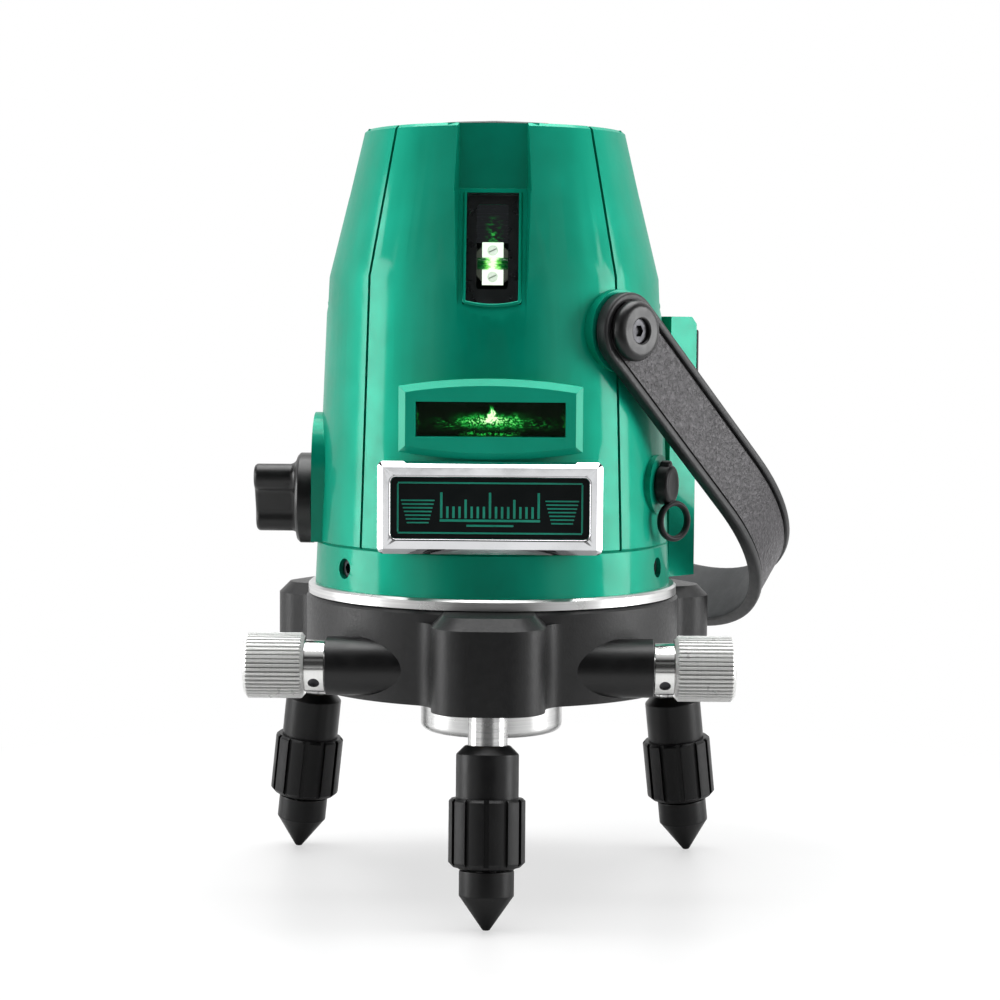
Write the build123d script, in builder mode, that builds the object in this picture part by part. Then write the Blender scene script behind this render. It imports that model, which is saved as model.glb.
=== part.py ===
"""Line laser level: a turning head with a gimballed pendulum, on a base with three levelling legs.

Millimetres. The origin is the centre of the tripod socket's mouth, +Z is up, the front is -Y.
Azimuths are degrees from the front towards the right (+X), seen by someone facing the front.
"""

import os
from math import cos, pi, radians, sin, sqrt, tan

from build123d import *

os.makedirs("parts", exist_ok=True)

# Clearances
run_gap = 0.05      # radial gap of a running fit
slip_gap = 0.1      # gap round a piece that sits still in a pocket
face_gap = 0.3      # gap between faces that move past each other
overlap = 0.4       # how far a feature sinks into the wall that carries it

# Tripod socket and base
socket_r = 19.5
socket_h = 13.5
thread_r = 6.75     # minor radius of the tripod thread
thread_depth = 9.0
base_r = 51.0
base_h = 24.5
base_wall = 5.5
base_floor = 4.0
base_rim = 0.8
post_reach = 66.5
post_width = 29.0
post_corner = 10.0
post_bevel = 3.0
post_root = 7.0
base_z = socket_h
base_top = base_z + base_h
cavity_r = base_r - base_wall

# Levelling legs, measured along the leg from its tip
leg_azimuths = (0, 120, 240)
leg_splay = 7.0
foot_circle_r = 65.3
floor_z = -40.5
tip_r = 0.85
cone_len = 8.3
foot_r = 6.95
foot_len = 15.0
sleeve_wall = 2.95
sleeve_len = 31.0
sleeve_bevel = 2.2
sleeve_floor = 1.0
grip_wall = 1.75
grip_len = 17.2
grip_low = 0.6
grip_count = 12
grip_slot = 1.3
grip_depth = 0.8
grip_low_bevel = 1.2
grip_top_bevel = 0.7
leg_shaft_r = 5.0
leg_in_base = 17.0
leg_travel = 5.0    # how far a leg screws up or down from the middle
journal_r = 3.0
journal_len = 6.0
nut_wall = 2.0
nut_len = 11.0
nut_sink = 1.0
sleeve_r = leg_shaft_r + sleeve_wall
grip_r = sleeve_r + grip_wall
nut_r = leg_shaft_r + nut_wall

# Fine adjustment: a worm on a cross shaft and a wheel round the spindle
worm_module = 1.0
wheel_teeth = 66
wheel_thick = 3.0
worm_turns = 4
tooth_add = 0.8
tooth_ded = 1.0
thread_thick = 1.1
wheel_tooth_thick = 1.25
flank_angle = 20.0
root_sink = 0.2     # how far the thread's foot sinks into the shaft
worm_z = 22.3
worm_shaft_r = 4.0
worm_bush_r = 7.65
worm_bush_in = 16.0
worm_bush_out = 42.6
collar_r = 6.8
collar_len = 5.1
knob_r = 8.55
knob_len = 15.7
shaft_in_knob = 9.4
knob_bevel = 1.1
knurl_count = 46
knurl_depth = 0.45
set_screw_r = 1.5
set_screw_turn = 125.0
set_screw_sink = 0.9
worm_pitch = pi * worm_module
wheel_r = worm_module * wheel_teeth / 2
worm_pitch_r = worm_shaft_r + tooth_ded    # the worm is cut on the shaft itself
worm_y = -(wheel_r + worm_pitch_r)
knob_in = worm_bush_out + face_gap + collar_len
knob_out = knob_in + knob_len
worm_half = worm_turns * worm_pitch / 2

# Spindle, wheel hub and turntable
spindle_r = 8.0
beam_hole_r = 3.5
hub_low_r = 12.0
hub_top_r = 14.0
hub_rise = 7.0
hub_foot_gap = 0.5
base_hub_r = 16.0
turntable_r = 50.5
turntable_t = 2.8
turntable_step = 0.6
turntable_lip = 1.5
lip_gap = 0.5
spigot_r = 43.0
spigot_t = 3.8
spigot_h = 7.9
spindle_nut_r = 11.5
spindle_nut_h = 3.8
wheel_low = worm_z - wheel_thick / 2
wheel_high = worm_z + wheel_thick / 2
turntable_low = base_top + face_gap
turntable_top = turntable_low + turntable_t

# Head: green band and quarter shells
band_h = 11.4
band_low_r = 48.6
wall_foot_r = 48.1
knee_r = 45.3
crown_r = 35.9
band_mid = turntable_top + band_h / 2
seam_z = turntable_top + band_h
knee_rise = 71.3
crown_rise = 110.8
wall_t = 2.2
seam_gap = 0.9
seam_bevel = 0.4
crown_bevel = 0.8
band_screw_azimuths = (-53, 67, 187)
band_screw_head_r = 2.6
band_screw_head = 3.0
band_screw_sink = 1.0
band_screw_r = 1.45
band_hex_r = 1.5
band_hex_floor = 1.2
band_head_low = wall_foot_r - band_screw_sink - band_screw_head
knee_z = seam_z + knee_rise
crown_z = seam_z + crown_rise
shell_azimuths = {"front": 0, "right": 90, "back": 180, "left": 270}

# Window channels
pane_low_rise = 62.4
pane_rise = 31.6
pane_lean = 20.0
pane_w = 15.2
pane_t = 1.4
pane_rim = 1.2
pane_sink = 0.5
pane_exit = 3.0
pane_ledge = 1.8
pane_border = 2.2
channel_flare = 12.0
channel_cut = 15.0
channel_floor_r = 33.2
tray_half = 11.8
tray_back = 2.0
tray_inset = 2.15
tray_low_inset = 1.7
pane_low = seam_z + pane_low_rise
pane_high = pane_low + pane_rise

# Horizontal-line window
horizon_rise = 34.7
bezel_w = 47.0
bezel_h_side = 16.7
bezel_bow = 2.0
bezel_face = 50.0
bezel_bevel = 1.8
opening_w = 38.2
opening_h = 8.9
horizon_pane_t = 1.5
horizon_pane_rim = 1.2
horizon_sink = 0.3
horizon_pane_w = opening_w + 2 * horizon_pane_rim
horizon_pane_h = opening_h + 2 * horizon_pane_rim
horizon_z = seam_z + horizon_rise

# Badge
badge_rise = 12.1
badge_w = 57.4
badge_h = 23.7
badge_t = 2.2
badge_open_w = 50.6
badge_open_h = 15.6
badge_bevel = 1.4
badge_inner_round = 0.6
badge_corner = 1.5
badge_seat = 48.4
badge_plate_t = 1.0
badge_z = seam_z + badge_rise

# Strap handle
pivot_rise = 57.4
handle_lean = 48.0
strap_in = 47.6
strap_t = 3.6
strap_w = 20.0
strap_arm = 62.0
strap_clear = 1.5
pad_r = 10.8
cap_r = 7.9
cap_h = 3.2
cap_recess_r = 3.2
pivot_screw_r = 2.5
pivot_screw_head = 1.2
pivot_screw_sunk = 1.1
pivot_sleeve_t = 1.0
pivot_hex_r = 1.6
pad_depth = 8.0
cap_round = 2.2
cap_recess_round = 0.5
pivot_sleeve_r = pivot_screw_r + pivot_sleeve_t
pivot_z = seam_z + pivot_rise
knob_corner_r = sqrt(knob_out ** 2 + (abs(worm_y) + knob_r) ** 2)
lean_sin = sin(radians(handle_lean))
lean_cos = cos(radians(handle_lean))
strap_reach = (knob_corner_r + strap_clear + strap_w / 2 * lean_cos) / lean_sin

# Battery box, door and cells
box_half = 23.0
box_in = 27.0
box_out = 54.2
box_rise = 61.5
box_wall = 2.0
box_bevel = 3.0
door_t = 2.3
door_hinge_up = 3.8
hinge_r = 2.2
hinge_pin_r = 1.5
hinge_wall = 0.8
hinge_room = 1.0
hinge_out = 0.4
ear_w = 3.6
cheek_t = 3.4
cheek_bevel = 2.0
latch_t = 1.2
latch_bevel = 0.5
latch_low_rise = 43.9
latch_h = 14.0
cell_r = 9.2
cell_len = 65.0
box_low = turntable_top + slip_gap
box_high = seam_z + box_rise
cheek_in = sqrt((band_low_r + face_gap) ** 2 - box_half ** 2)
cheek_out = box_out - face_gap

# Lock
lock_rise = 11.0
lock_pad_w = 29.0
lock_pad_face = 48.8
lock_pad_top_rise = 34.6
lock_disc_r = 12.4
lock_disc_t = 4.5
lock_wing_len = 20.4
lock_lobe_r = 3.7
lock_waist_w = 4.8
lock_waist_round = 4.0
lock_wing_h = 11.7
lock_wing_round = 1.2
lock_bite = 3.5
lock_wing_turn = -28.0
lock_root = 2.0
lock_disc_bevel = 0.8
lock_shaft_r = 3.0
lock_lift = 2.0
lock_short = 1.0
cam_r = 4.0
cam_t = 4.5
lock_plate_t = 3.0
lock_plate_half = 9.0
lock_plate_x = -12.5
lock_plate_bevel = 5.0
lock_plate_drop = 1.5
cam_room = 0.5
bracket_x = -22.0
bracket_t = 5.0
bracket_w = 12.0
bracket_over = 5.0
guide_h = 9.0
guide_wall = 2.2
lock_z = seam_z + lock_rise
cam_rate = lock_lift / (pi / 2)

# Gimbal and pendulum
gimbal_out_r = 23.5
gimbal_in_r = 19.5
gimbal_h = 7.0
gimbal_pin_r = 2.0
gimbal_pin_in = 2.0    # how far a gimbal pin goes into its upright
upright_in = 27.0
upright_out = 33.0
upright_half = 8.0
screw_in_upright = 2.5
weight_r = 19.0
weight_h = 8.0
weight_low_rise = 19.5
hub_r = 13.0
hub_h = 16.0
stem_r = 8.0
module_rise = 74.5
module_r = 5.2
module_in = 6.0
module_out = 30.0
module_block = 8.0
clamp_w = 5.5
clamp_h = 11.0
clamp_t = 2.5
rod_r = 1.5
rod_len = 8.0
clamp_floor = 0.5
clamp_screw_r = 1.15
clamp_screw_up = 3.4
clamp_screw_head = 0.7
clamp_slot = 0.35
clamp_slot_turn = 25.0
module_z = seam_z + module_rise
weight_low = seam_z + weight_low_rise

# Chassis
deck_t = 3.0
deck_gap = 0.2
strip_t = 2.0
strip_arc = 14.0
strip_gap = 0.25
ring_in_r = 25.0
ring_out_r = 30.8
ring_t = 3.0
ring_drop = 9.3
web_w = 8.0
web_low_rise = 40.0
spoke_w = 7.0
board_r = 27.5
board_t = 1.6
deck_low = turntable_top
deck_high = deck_low + deck_t
ring_high = crown_z - ring_drop + ring_t

# Top
top_cap_t = 2.5
top_cap_r = 33.4
panel_r = 20.5
panel_t = 1.6
panel_bevel = 0.5
button_r = 4.2
button_up = 0.5
button_press = 0.8
button_round = 0.4
button_centres = ((0.0, -11.0), (-11.0, 4.0), (11.0, 4.0))
led_r = 1.5
led_up = 0.4
led_centre = (13.0, -9.5)
panel_top = crown_z + panel_t

# Charging socket plug
plug_azimuth = 68.0
plug_rise = 16.5
plug_seat = 48.4
plug_pad_r = 8.0
plug_r = 5.3
plug_t = 3.5
plug_stem_r = 3.0
plug_stem_len = 5.0
plug_loop_r = 5.5
plug_loop_hole_r = 4.0
plug_loop_t = 2.0
plug_loop_turn = 30.0
plug_loop_out = 2.0
plug_tab_up = 6.8
plug_tab_w = 3.2
plug_tab_round = 1.2
plug_z = seam_z + plug_rise


def out_dir(azimuth):
    """Unit vector pointing outward at an azimuth."""
    a = radians(azimuth)
    return Vector(sin(a), -cos(a), 0)


def right_dir(azimuth):
    """Unit vector pointing right for someone who faces that side of the object."""
    a = radians(azimuth)
    return Vector(cos(a), sin(a), 0)


def face_plane(azimuth, r, z):
    """Plane that faces outward: x runs right, y runs up."""
    centre = out_dir(azimuth) * r + Vector(0, 0, z)
    return Plane(centre, x_dir=right_dir(azimuth), z_dir=out_dir(azimuth))


def side_plane(azimuth):
    """Upright plane through the axis: x is the radius at that azimuth, y is the height."""
    return Plane((0, 0, 0), x_dir=out_dir(azimuth), z_dir=-right_dir(azimuth))


def level_plane(azimuth, z):
    """Level plane: x runs right at that azimuth, y runs inward."""
    return Plane((0, 0, z), x_dir=right_dir(azimuth), z_dir=(0, 0, 1))


def leg_axis(azimuth):
    """Axis of a leg, from its tip up into the base."""
    splay = radians(leg_splay)
    tip = out_dir(azimuth) * foot_circle_r + Vector(0, 0, floor_z)
    return Axis(tip, out_dir(azimuth) * -sin(splay) + Vector(0, 0, cos(splay)))


def leg_plane(azimuth, along):
    """Plane across a leg, that far along it from its tip."""
    axis = leg_axis(azimuth)
    return Plane(axis.position + axis.direction * along, x_dir=right_dir(azimuth), z_dir=axis.direction)


def leg_side_plane(azimuth):
    """Plane along a leg: x is the radius from its axis, y is the distance from its tip."""
    axis = leg_axis(azimuth)
    return Plane(axis.position, x_dir=right_dir(azimuth), z_dir=right_dir(azimuth).cross(axis.direction))


def turned(plane, axis, points, mode=Mode.ADD):
    """Turn a polygon drawn on a plane round an axis, in the open part."""
    with BuildSketch(plane) as flat:
        with BuildLine():
            Polyline(*points, close=True)
        make_face()
    revolve(flat.sketch, axis=axis, mode=mode)


def wall_r(z):
    """Outside radius of the shells at a height."""
    if z < knee_z:
        return wall_foot_r + (knee_r - wall_foot_r) * (z - seam_z) / knee_rise
    return knee_r + (crown_r - knee_r) * (z - knee_z) / (crown_z - knee_z)


def head_solid(inset, low, high):
    """Polygon of the shells' outline moved in by an inset, from the axis out."""
    points = [(0, low), (wall_r(low) - inset, low), (knee_r - inset, knee_z)]
    return points + [(wall_r(high) - inset, high), (0, high)]


# The diagonal frame: u runs through the handle pivots, d towards the battery box.
u_dir = Vector(sin(pi / 4), -cos(pi / 4), 0)
d_dir = Vector(sin(pi / 4), cos(pi / 4), 0)
across = Plane((0, 0, 0), x_dir=d_dir, z_dir=u_dir)    # x is d, y is z


def diagonal(z):
    """Level plane of the diagonal frame: x is u, y is d."""
    return Plane((0, 0, z), x_dir=u_dir, z_dir=(0, 0, 1))


def u_plane(u, z):
    """Plane across u: x is d, y is up."""
    return Plane(u_dir * u + Vector(0, 0, z), x_dir=d_dir, z_dir=u_dir)


def d_plane(d, z):
    """Plane across d, facing outward from the battery box: x is minus u, y is up."""
    return Plane(d_dir * d + Vector(0, 0, z), x_dir=-u_dir, z_dir=d_dir)


def pivot_plane(side, u):
    """Plane across the handle's pivot axis, facing outward on that side: x is d."""
    return Plane(u_dir * (side * u) + Vector(0, 0, pivot_z), x_dir=d_dir, z_dir=u_dir * side)


def knob_plane(side, along):
    """Plane across the worm shaft, facing outward on that side."""
    return Plane((side * along, worm_y, worm_z), x_dir=(0, side, 0), z_dir=(side, 0, 0))


def set_screw_plane(side, r):
    """Plane across a knob's set screw, that far from the worm shaft's axis."""
    screw_dir = Vector(0, -sin(radians(set_screw_turn)), cos(radians(set_screw_turn)))
    centre = Vector(side * (knob_in - collar_len / 2), worm_y, worm_z) + screw_dir * r
    return Plane(centre, x_dir=(1, 0, 0), z_dir=screw_dir)


def cut_box_space(gap):
    """Take the battery box's space out of the open part."""
    with BuildSketch(diagonal(box_low - gap)) as flat:
        with Locations((0, (box_in - gap + 2 * box_out) / 2)):
            Rectangle(2 * (box_half + gap), 2 * box_out - box_in + gap)
    extrude(flat.sketch, amount=box_high - box_low + 2 * gap, mode=Mode.SUBTRACT)


leg_at_base = (base_z - floor_z) / cos(radians(leg_splay))

with BuildPart() as base_housing:
    with BuildSketch(Plane.XY.offset(base_z)) as base_outline:
        Circle(base_r)
        for azimuth in leg_azimuths:
            with Locations(Location(out_dir(azimuth) * (post_reach - post_width), azimuth)):
                RectangleRounded(post_width, 2 * post_width, post_corner)
        meets = [v for v in base_outline.vertices() if abs(Vector(v.X, v.Y, 0).length - base_r) < 0.01]
        fillet(meets, post_root)
    extrude(amount=base_h - post_bevel)
    with BuildSketch(Plane.XY.offset(base_top - post_bevel)):
        Circle(base_r)
    extrude(amount=post_bevel - base_rim)
    with BuildSketch(Plane.XY.offset(base_top - base_rim)):
        Circle(base_r)
    extrude(amount=base_rim, taper=45)
    with BuildSketch(Plane.XY.offset(base_top - post_bevel)):
        for azimuth in leg_azimuths:
            with Locations(Location(out_dir(azimuth) * (post_reach - post_width), azimuth)):
                RectangleRounded(post_width, 2 * post_width, post_corner)
    extrude(amount=post_bevel, taper=45)
    with BuildSketch(Plane.XY.offset(base_z + base_floor)):
        Circle(cavity_r)
    extrude(amount=base_h, mode=Mode.SUBTRACT)
    with BuildSketch(Plane.XY.offset(base_z)):
        Circle(base_hub_r)
    extrude(amount=wheel_low - face_gap - base_z)
    with BuildSketch(Plane.XY.offset(base_z)):
        Circle(hub_low_r + run_gap)
    extrude(amount=base_h, mode=Mode.SUBTRACT)
    for side in (-1, 1):
        with BuildSketch(knob_plane(side, 0)):
            Circle(worm_pitch_r + tooth_add + face_gap)
        extrude(amount=worm_bush_in, mode=Mode.SUBTRACT)
        with BuildSketch(knob_plane(side, worm_bush_in)):
            Circle(worm_bush_r)
        extrude(amount=base_r, mode=Mode.SUBTRACT)
    for azimuth in leg_azimuths:
        with BuildSketch(leg_plane(azimuth, leg_at_base - nut_r)):
            Circle(nut_r)
        extrude(amount=nut_r + nut_len, mode=Mode.SUBTRACT)
        with BuildSketch(leg_plane(azimuth, leg_at_base)):
            Circle(leg_shaft_r + 2 * face_gap)
        extrude(amount=leg_in_base + leg_travel + 1, mode=Mode.SUBTRACT)
base_housing.part.label = "base_housing"
export_step(base_housing.part, "parts/base_housing.step")

with BuildPart() as leg_nuts:
    for azimuth in leg_azimuths:
        with BuildSketch(leg_plane(azimuth, leg_at_base + nut_sink)):
            Circle(nut_r)
            Circle(leg_shaft_r + run_gap, mode=Mode.SUBTRACT)
        extrude(amount=nut_len - nut_sink)
leg_nuts.part.label = "leg_nuts"
export_step(leg_nuts.part, "parts/leg_nuts.step")

with BuildPart() as worm_bushes:
    for side in (-1, 1):
        with BuildSketch(knob_plane(side, worm_bush_in)):
            Circle(worm_bush_r)
            Circle(worm_shaft_r + run_gap, mode=Mode.SUBTRACT)
        extrude(amount=worm_bush_out - worm_bush_in)
worm_bushes.part.label = "worm_bushes"
export_step(worm_bushes.part, "parts/worm_bushes.step")

with BuildPart() as tripod_socket:
    Cylinder(socket_r, socket_h, align=(Align.CENTER, Align.CENTER, Align.MIN))
    fillet(tripod_socket.edges().group_by(Axis.Z)[0], 2)
    Cylinder(thread_r, socket_h, align=(Align.CENTER, Align.CENTER, Align.MIN), mode=Mode.SUBTRACT)
    with BuildSketch(Plane.XY.offset(thread_depth)):
        Circle(hub_low_r + run_gap)
    extrude(amount=socket_h, mode=Mode.SUBTRACT)
tripod_socket.part.label = "tripod_socket"
export_step(tripod_socket.part, "parts/tripod_socket.step")

sleeve_low = foot_len + face_gap
sleeve_seat = sleeve_low + sleeve_floor
sleeve_high = sleeve_low + sleeve_len
for number, azimuth in enumerate(leg_azimuths, 1):
    with BuildPart() as leg_foot:
        outline = [(0, 0), (tip_r, 0), (foot_r - 0.3, cone_len), (foot_r, cone_len + 0.3)]
        outline += [(foot_r, foot_len), (0, foot_len)]
        turned(leg_side_plane(azimuth), leg_axis(azimuth), outline)
        with BuildSketch(leg_plane(azimuth, foot_len - journal_len - face_gap)):
            Circle(journal_r + run_gap)
        extrude(amount=2 * journal_len, mode=Mode.SUBTRACT)
    leg_foot.part.label = f"leg_foot_{number}"
    export_step(leg_foot.part, f"parts/leg_foot_{number}.step")

    with BuildPart() as leg_screw:
        outline = [(0, foot_len - journal_len), (journal_r, foot_len - journal_len)]
        outline += [(journal_r, sleeve_seat), (leg_shaft_r, sleeve_seat)]
        outline += [(leg_shaft_r, leg_at_base + leg_in_base - 1)]
        outline += [(leg_shaft_r - 1, leg_at_base + leg_in_base), (0, leg_at_base + leg_in_base)]
        turned(leg_side_plane(azimuth), leg_axis(azimuth), outline)
    leg_screw.part.label = f"leg_screw_{number}"
    export_step(leg_screw.part, f"parts/leg_screw_{number}.step")

    with BuildPart() as leg_sleeve:
        outline = [(journal_r + run_gap, sleeve_low), (sleeve_r - 1, sleeve_low)]
        outline += [(sleeve_r, sleeve_low + grip_low)]
        outline += [(sleeve_r, sleeve_high - sleeve_bevel), (sleeve_r - sleeve_bevel, sleeve_high)]
        outline += [(leg_shaft_r, sleeve_high), (leg_shaft_r, sleeve_seat)]
        outline += [(journal_r + run_gap, sleeve_seat)]
        turned(leg_side_plane(azimuth), leg_axis(azimuth), outline)
    leg_sleeve.part.label = f"leg_sleeve_{number}"
    export_step(leg_sleeve.part, f"parts/leg_sleeve_{number}.step")

    with BuildPart() as leg_grip:
        with BuildSketch(leg_plane(azimuth, sleeve_low + grip_low)):
            Circle(grip_r)
            with PolarLocations(grip_r, grip_count):
                Rectangle(2 * grip_depth, grip_slot, mode=Mode.SUBTRACT)
        extrude(amount=grip_len)
        low = sleeve_low + grip_low
        outline = [(sleeve_r, low), (grip_r - grip_low_bevel, low), (grip_r, low + grip_low_bevel)]
        outline += [(grip_r, low + grip_len - grip_top_bevel), (grip_r - grip_top_bevel, low + grip_len)]
        outline += [(sleeve_r, low + grip_len)]
        turned(leg_side_plane(azimuth), leg_axis(azimuth), outline, Mode.INTERSECT)
    leg_grip.part.label = f"leg_grip_{number}"
    export_step(leg_grip.part, f"parts/leg_grip_{number}.step")

worm_frame = Plane((0, worm_y, worm_z), x_dir=(0, 1, 0), z_dir=(1, 0, 0))
worm_root_r = worm_pitch_r - tooth_ded
flank = tan(radians(flank_angle))
with BuildPart() as worm_shaft:
    with Locations(Location((0, worm_y, worm_z), (0, 90, 0))):
        Cylinder(worm_shaft_r, 2 * (knob_in + shaft_in_knob))
    with BuildLine(Plane.XY) as worm_path:
        worm_end = (-worm_half, worm_y, worm_z)
        Helix(worm_pitch, 2 * worm_half, worm_root_r - root_sink, center=worm_end, direction=(1, 0, 0))
    worm_start = worm_path.line @ 0
    worm_out = (worm_start - Vector(*worm_end)).normalized()
    with BuildSketch(Plane(worm_start, x_dir=worm_out, z_dir=worm_path.line % 0)):
        with BuildLine():
            foot = thread_thick / 2 + (tooth_ded + root_sink) * flank
            crest = thread_thick / 2 - tooth_add * flank
            height = tooth_ded + root_sink + tooth_add
            Polyline((0, -foot), (height, -crest), (height, crest), (0, foot), close=True)
        make_face()
    sweep(is_frenet=True)
worm_shaft.part.label = "worm_shaft"
export_step(worm_shaft.part, "parts/worm_shaft.step")

knob_axis = Axis((0, worm_y, worm_z), (1, 0, 0))
for side, name in ((-1, "left"), (1, "right")):
    with BuildPart() as fine_knob:
        with BuildSketch(knob_plane(side, knob_in)):
            with BuildLine():
                step = 2 * pi / knurl_count
                ring = []
                for tooth in range(knurl_count):
                    for r, turn in ((knob_r, -0.3), (knob_r, 0.1), (knob_r - knurl_depth, 0.4)):
                        a = (tooth + turn) * step
                        ring.append((r * cos(a), r * sin(a)))
                Polyline(*ring, close=True)
            make_face()
        extrude(amount=knob_len)
        outline = [(knob_in, 0), (knob_in, knob_r - knob_bevel)]
        outline += [(knob_in + knob_bevel, knob_r + slip_gap)]
        outline += [(knob_out - knob_bevel, knob_r + slip_gap)]
        outline += [(knob_out, knob_r - knob_bevel), (knob_out, 0)]
        along_knob = Plane((0, worm_y, worm_z), x_dir=(side, 0, 0), z_dir=(0, -side, 0))
        turned(along_knob, knob_axis, outline, Mode.INTERSECT)
        with BuildSketch(knob_plane(side, knob_in - collar_len)):
            Circle(collar_r)
        extrude(amount=collar_len)
        with BuildSketch(knob_plane(side, 0)):
            Circle(worm_shaft_r)
        extrude(amount=knob_in + shaft_in_knob, mode=Mode.SUBTRACT)
        with BuildSketch(set_screw_plane(side, 0)):
            Circle(set_screw_r)
        extrude(amount=2 * collar_r, mode=Mode.SUBTRACT)
    fine_knob.part.label = f"fine_knob_{name}"
    export_step(fine_knob.part, f"parts/fine_knob_{name}.step")

with BuildPart() as knob_set_screws:
    for side in (-1, 1):
        with BuildSketch(set_screw_plane(side, worm_shaft_r)):
            Circle(set_screw_r)
        extrude(amount=collar_r - worm_shaft_r - set_screw_sink)
knob_set_screws.part.label = "knob_set_screws"
export_step(knob_set_screws.part, "parts/knob_set_screws.step")

with BuildPart() as worm_wheel:
    with BuildSketch(Plane.XY.offset(wheel_low)):
        with BuildLine():
            ring = []
            step = 360 / wheel_teeth
            for tooth in range(wheel_teeth):
                middle = (tooth + 0.25) * step
                low_half = (wheel_tooth_thick / 2 + tooth_ded * flank) / (wheel_r - tooth_ded)
                top_half = (wheel_tooth_thick / 2 - tooth_add * flank) / (wheel_r + tooth_add)
                pairs = ((wheel_r - tooth_ded, -low_half), (wheel_r + tooth_add, -top_half))
                pairs += ((wheel_r + tooth_add, top_half), (wheel_r - tooth_ded, low_half))
                for r, turn in pairs:
                    a = radians(middle) + turn
                    ring.append((r * sin(a), -r * cos(a)))
            Polyline(*ring, close=True)
        make_face()
    extrude(amount=wheel_thick)
    with BuildSketch(Plane.XY.offset(base_z + hub_foot_gap)):
        Circle(hub_low_r)
    extrude(amount=wheel_low - base_z - hub_foot_gap)
    with BuildSketch(Plane.XY.offset(wheel_high)):
        Circle(hub_top_r)
    extrude(amount=hub_rise)
    with BuildSketch(Plane.XY.offset(0)):
        Circle(spindle_r + run_gap)
    extrude(amount=base_top, mode=Mode.SUBTRACT)
worm_wheel.part.label = "worm_wheel"
export_step(worm_wheel.part, "parts/worm_wheel.step")

spindle_low = base_z + slip_gap - spindle_nut_h
with BuildPart() as turntable:
    outline = [(0, spindle_low), (spindle_r, spindle_low), (spindle_r, wheel_high + hub_rise + face_gap)]
    outline += [(base_hub_r, wheel_high + hub_rise + face_gap), (base_hub_r, base_top - turntable_lip)]
    outline += [(cavity_r - lip_gap, base_top - turntable_lip), (cavity_r - lip_gap, turntable_low)]
    outline += [(turntable_r, turntable_low), (turntable_r, turntable_top - turntable_step)]
    outline += [(turntable_r - turntable_step, turntable_top)]
    outline += [(spigot_r, turntable_top), (spigot_r, turntable_top + spigot_h)]
    outline += [(spigot_r - spigot_t, turntable_top + spigot_h), (spigot_r - spigot_t, turntable_top)]
    outline += [(0, turntable_top)]
    turned(Plane.XZ, Axis.Z, outline)
    with BuildSketch(Plane.XY.offset(0)):
        Circle(beam_hole_r)
    extrude(amount=crown_z, mode=Mode.SUBTRACT)
    with BuildSketch(diagonal(turntable_top)):
        with Locations((0, (box_in - slip_gap + 2 * box_out) / 2)):
            Rectangle(2 * (box_half + slip_gap), 2 * box_out - box_in + slip_gap)
    extrude(amount=spigot_h + 1, mode=Mode.SUBTRACT)
    for azimuth in band_screw_azimuths:
        with BuildSketch(face_plane(azimuth, 0, band_mid)):
            Circle(band_screw_r)
        extrude(amount=base_r, mode=Mode.SUBTRACT)
turntable.part.label = "turntable"
export_step(turntable.part, "parts/turntable.step")

with BuildPart() as spindle_nut:
    with BuildSketch(Plane.XY.offset(spindle_low)):
        RegularPolygon(spindle_nut_r, 6)
        Circle(spindle_r, mode=Mode.SUBTRACT)
    extrude(amount=spindle_nut_h)
spindle_nut.part.label = "spindle_nut"
export_step(spindle_nut.part, "parts/spindle_nut.step")

with BuildPart() as lower_band:
    outline = [(spigot_r + slip_gap, turntable_top), (band_low_r, turntable_top)]
    outline += [(wall_foot_r, seam_z - seam_bevel), (wall_foot_r - seam_bevel, seam_z)]
    outline += [(spigot_r + slip_gap, seam_z)]
    turned(Plane.XZ, Axis.Z, outline)
    for azimuth in band_screw_azimuths:
        with BuildSketch(face_plane(azimuth, 0, band_mid)):
            Circle(band_screw_r + slip_gap)
        extrude(amount=2 * base_r, mode=Mode.SUBTRACT)
        with BuildSketch(face_plane(azimuth, band_head_low, band_mid)):
            Circle(band_screw_head_r + slip_gap)
        extrude(amount=base_r, mode=Mode.SUBTRACT)
    cut_box_space(slip_gap)
lower_band.part.label = "lower_band"
export_step(lower_band.part, "parts/lower_band.step")

with BuildPart() as band_screws:
    for azimuth in band_screw_azimuths:
        with BuildSketch(face_plane(azimuth, band_head_low, band_mid)):
            Circle(band_screw_head_r)
        extrude(amount=band_screw_head)
        with BuildSketch(face_plane(azimuth, spigot_r - spigot_t, band_mid)):
            Circle(band_screw_r)
        extrude(amount=band_head_low - spigot_r + spigot_t)
        with BuildSketch(face_plane(azimuth, band_head_low + band_hex_floor, band_mid)):
            RegularPolygon(band_hex_r, 6)
        extrude(amount=band_screw_head, mode=Mode.SUBTRACT)
band_screws.part.label = "band_screws"
export_step(band_screws.part, "parts/band_screws.step")


def pane_plane(azimuth):
    """Plane of a channel's leaning window, with y up along the pane from its foot."""
    lean = radians(pane_lean)
    foot = out_dir(azimuth) * pane_foot_r + Vector(0, 0, pane_low)
    facing = out_dir(azimuth) * cos(lean) + Vector(0, 0, sin(lean))
    return Plane(foot, x_dir=right_dir(azimuth), z_dir=facing)


pane_foot_r = wall_r(pane_low) - pane_sink
pane_len = pane_rise / cos(radians(pane_lean))
pane_foot_up = 1.6      # where the pane's lower edge starts, above the foot of its plane
pane_h = pane_len - pane_foot_up - pane_rim


def shell_start():
    """The wall of all four shells, solid to the axis, in the open part."""
    outline = head_solid(0, seam_z, crown_z)
    low = seam_z + seam_bevel
    outline[1:2] = [(wall_r(low) - seam_bevel, seam_z), (wall_r(low), low)]
    high = crown_z - crown_bevel
    outline[-2:-1] = [(wall_r(high), high), (crown_r - crown_bevel, crown_z)]
    turned(Plane.XZ, Axis.Z, outline)


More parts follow.
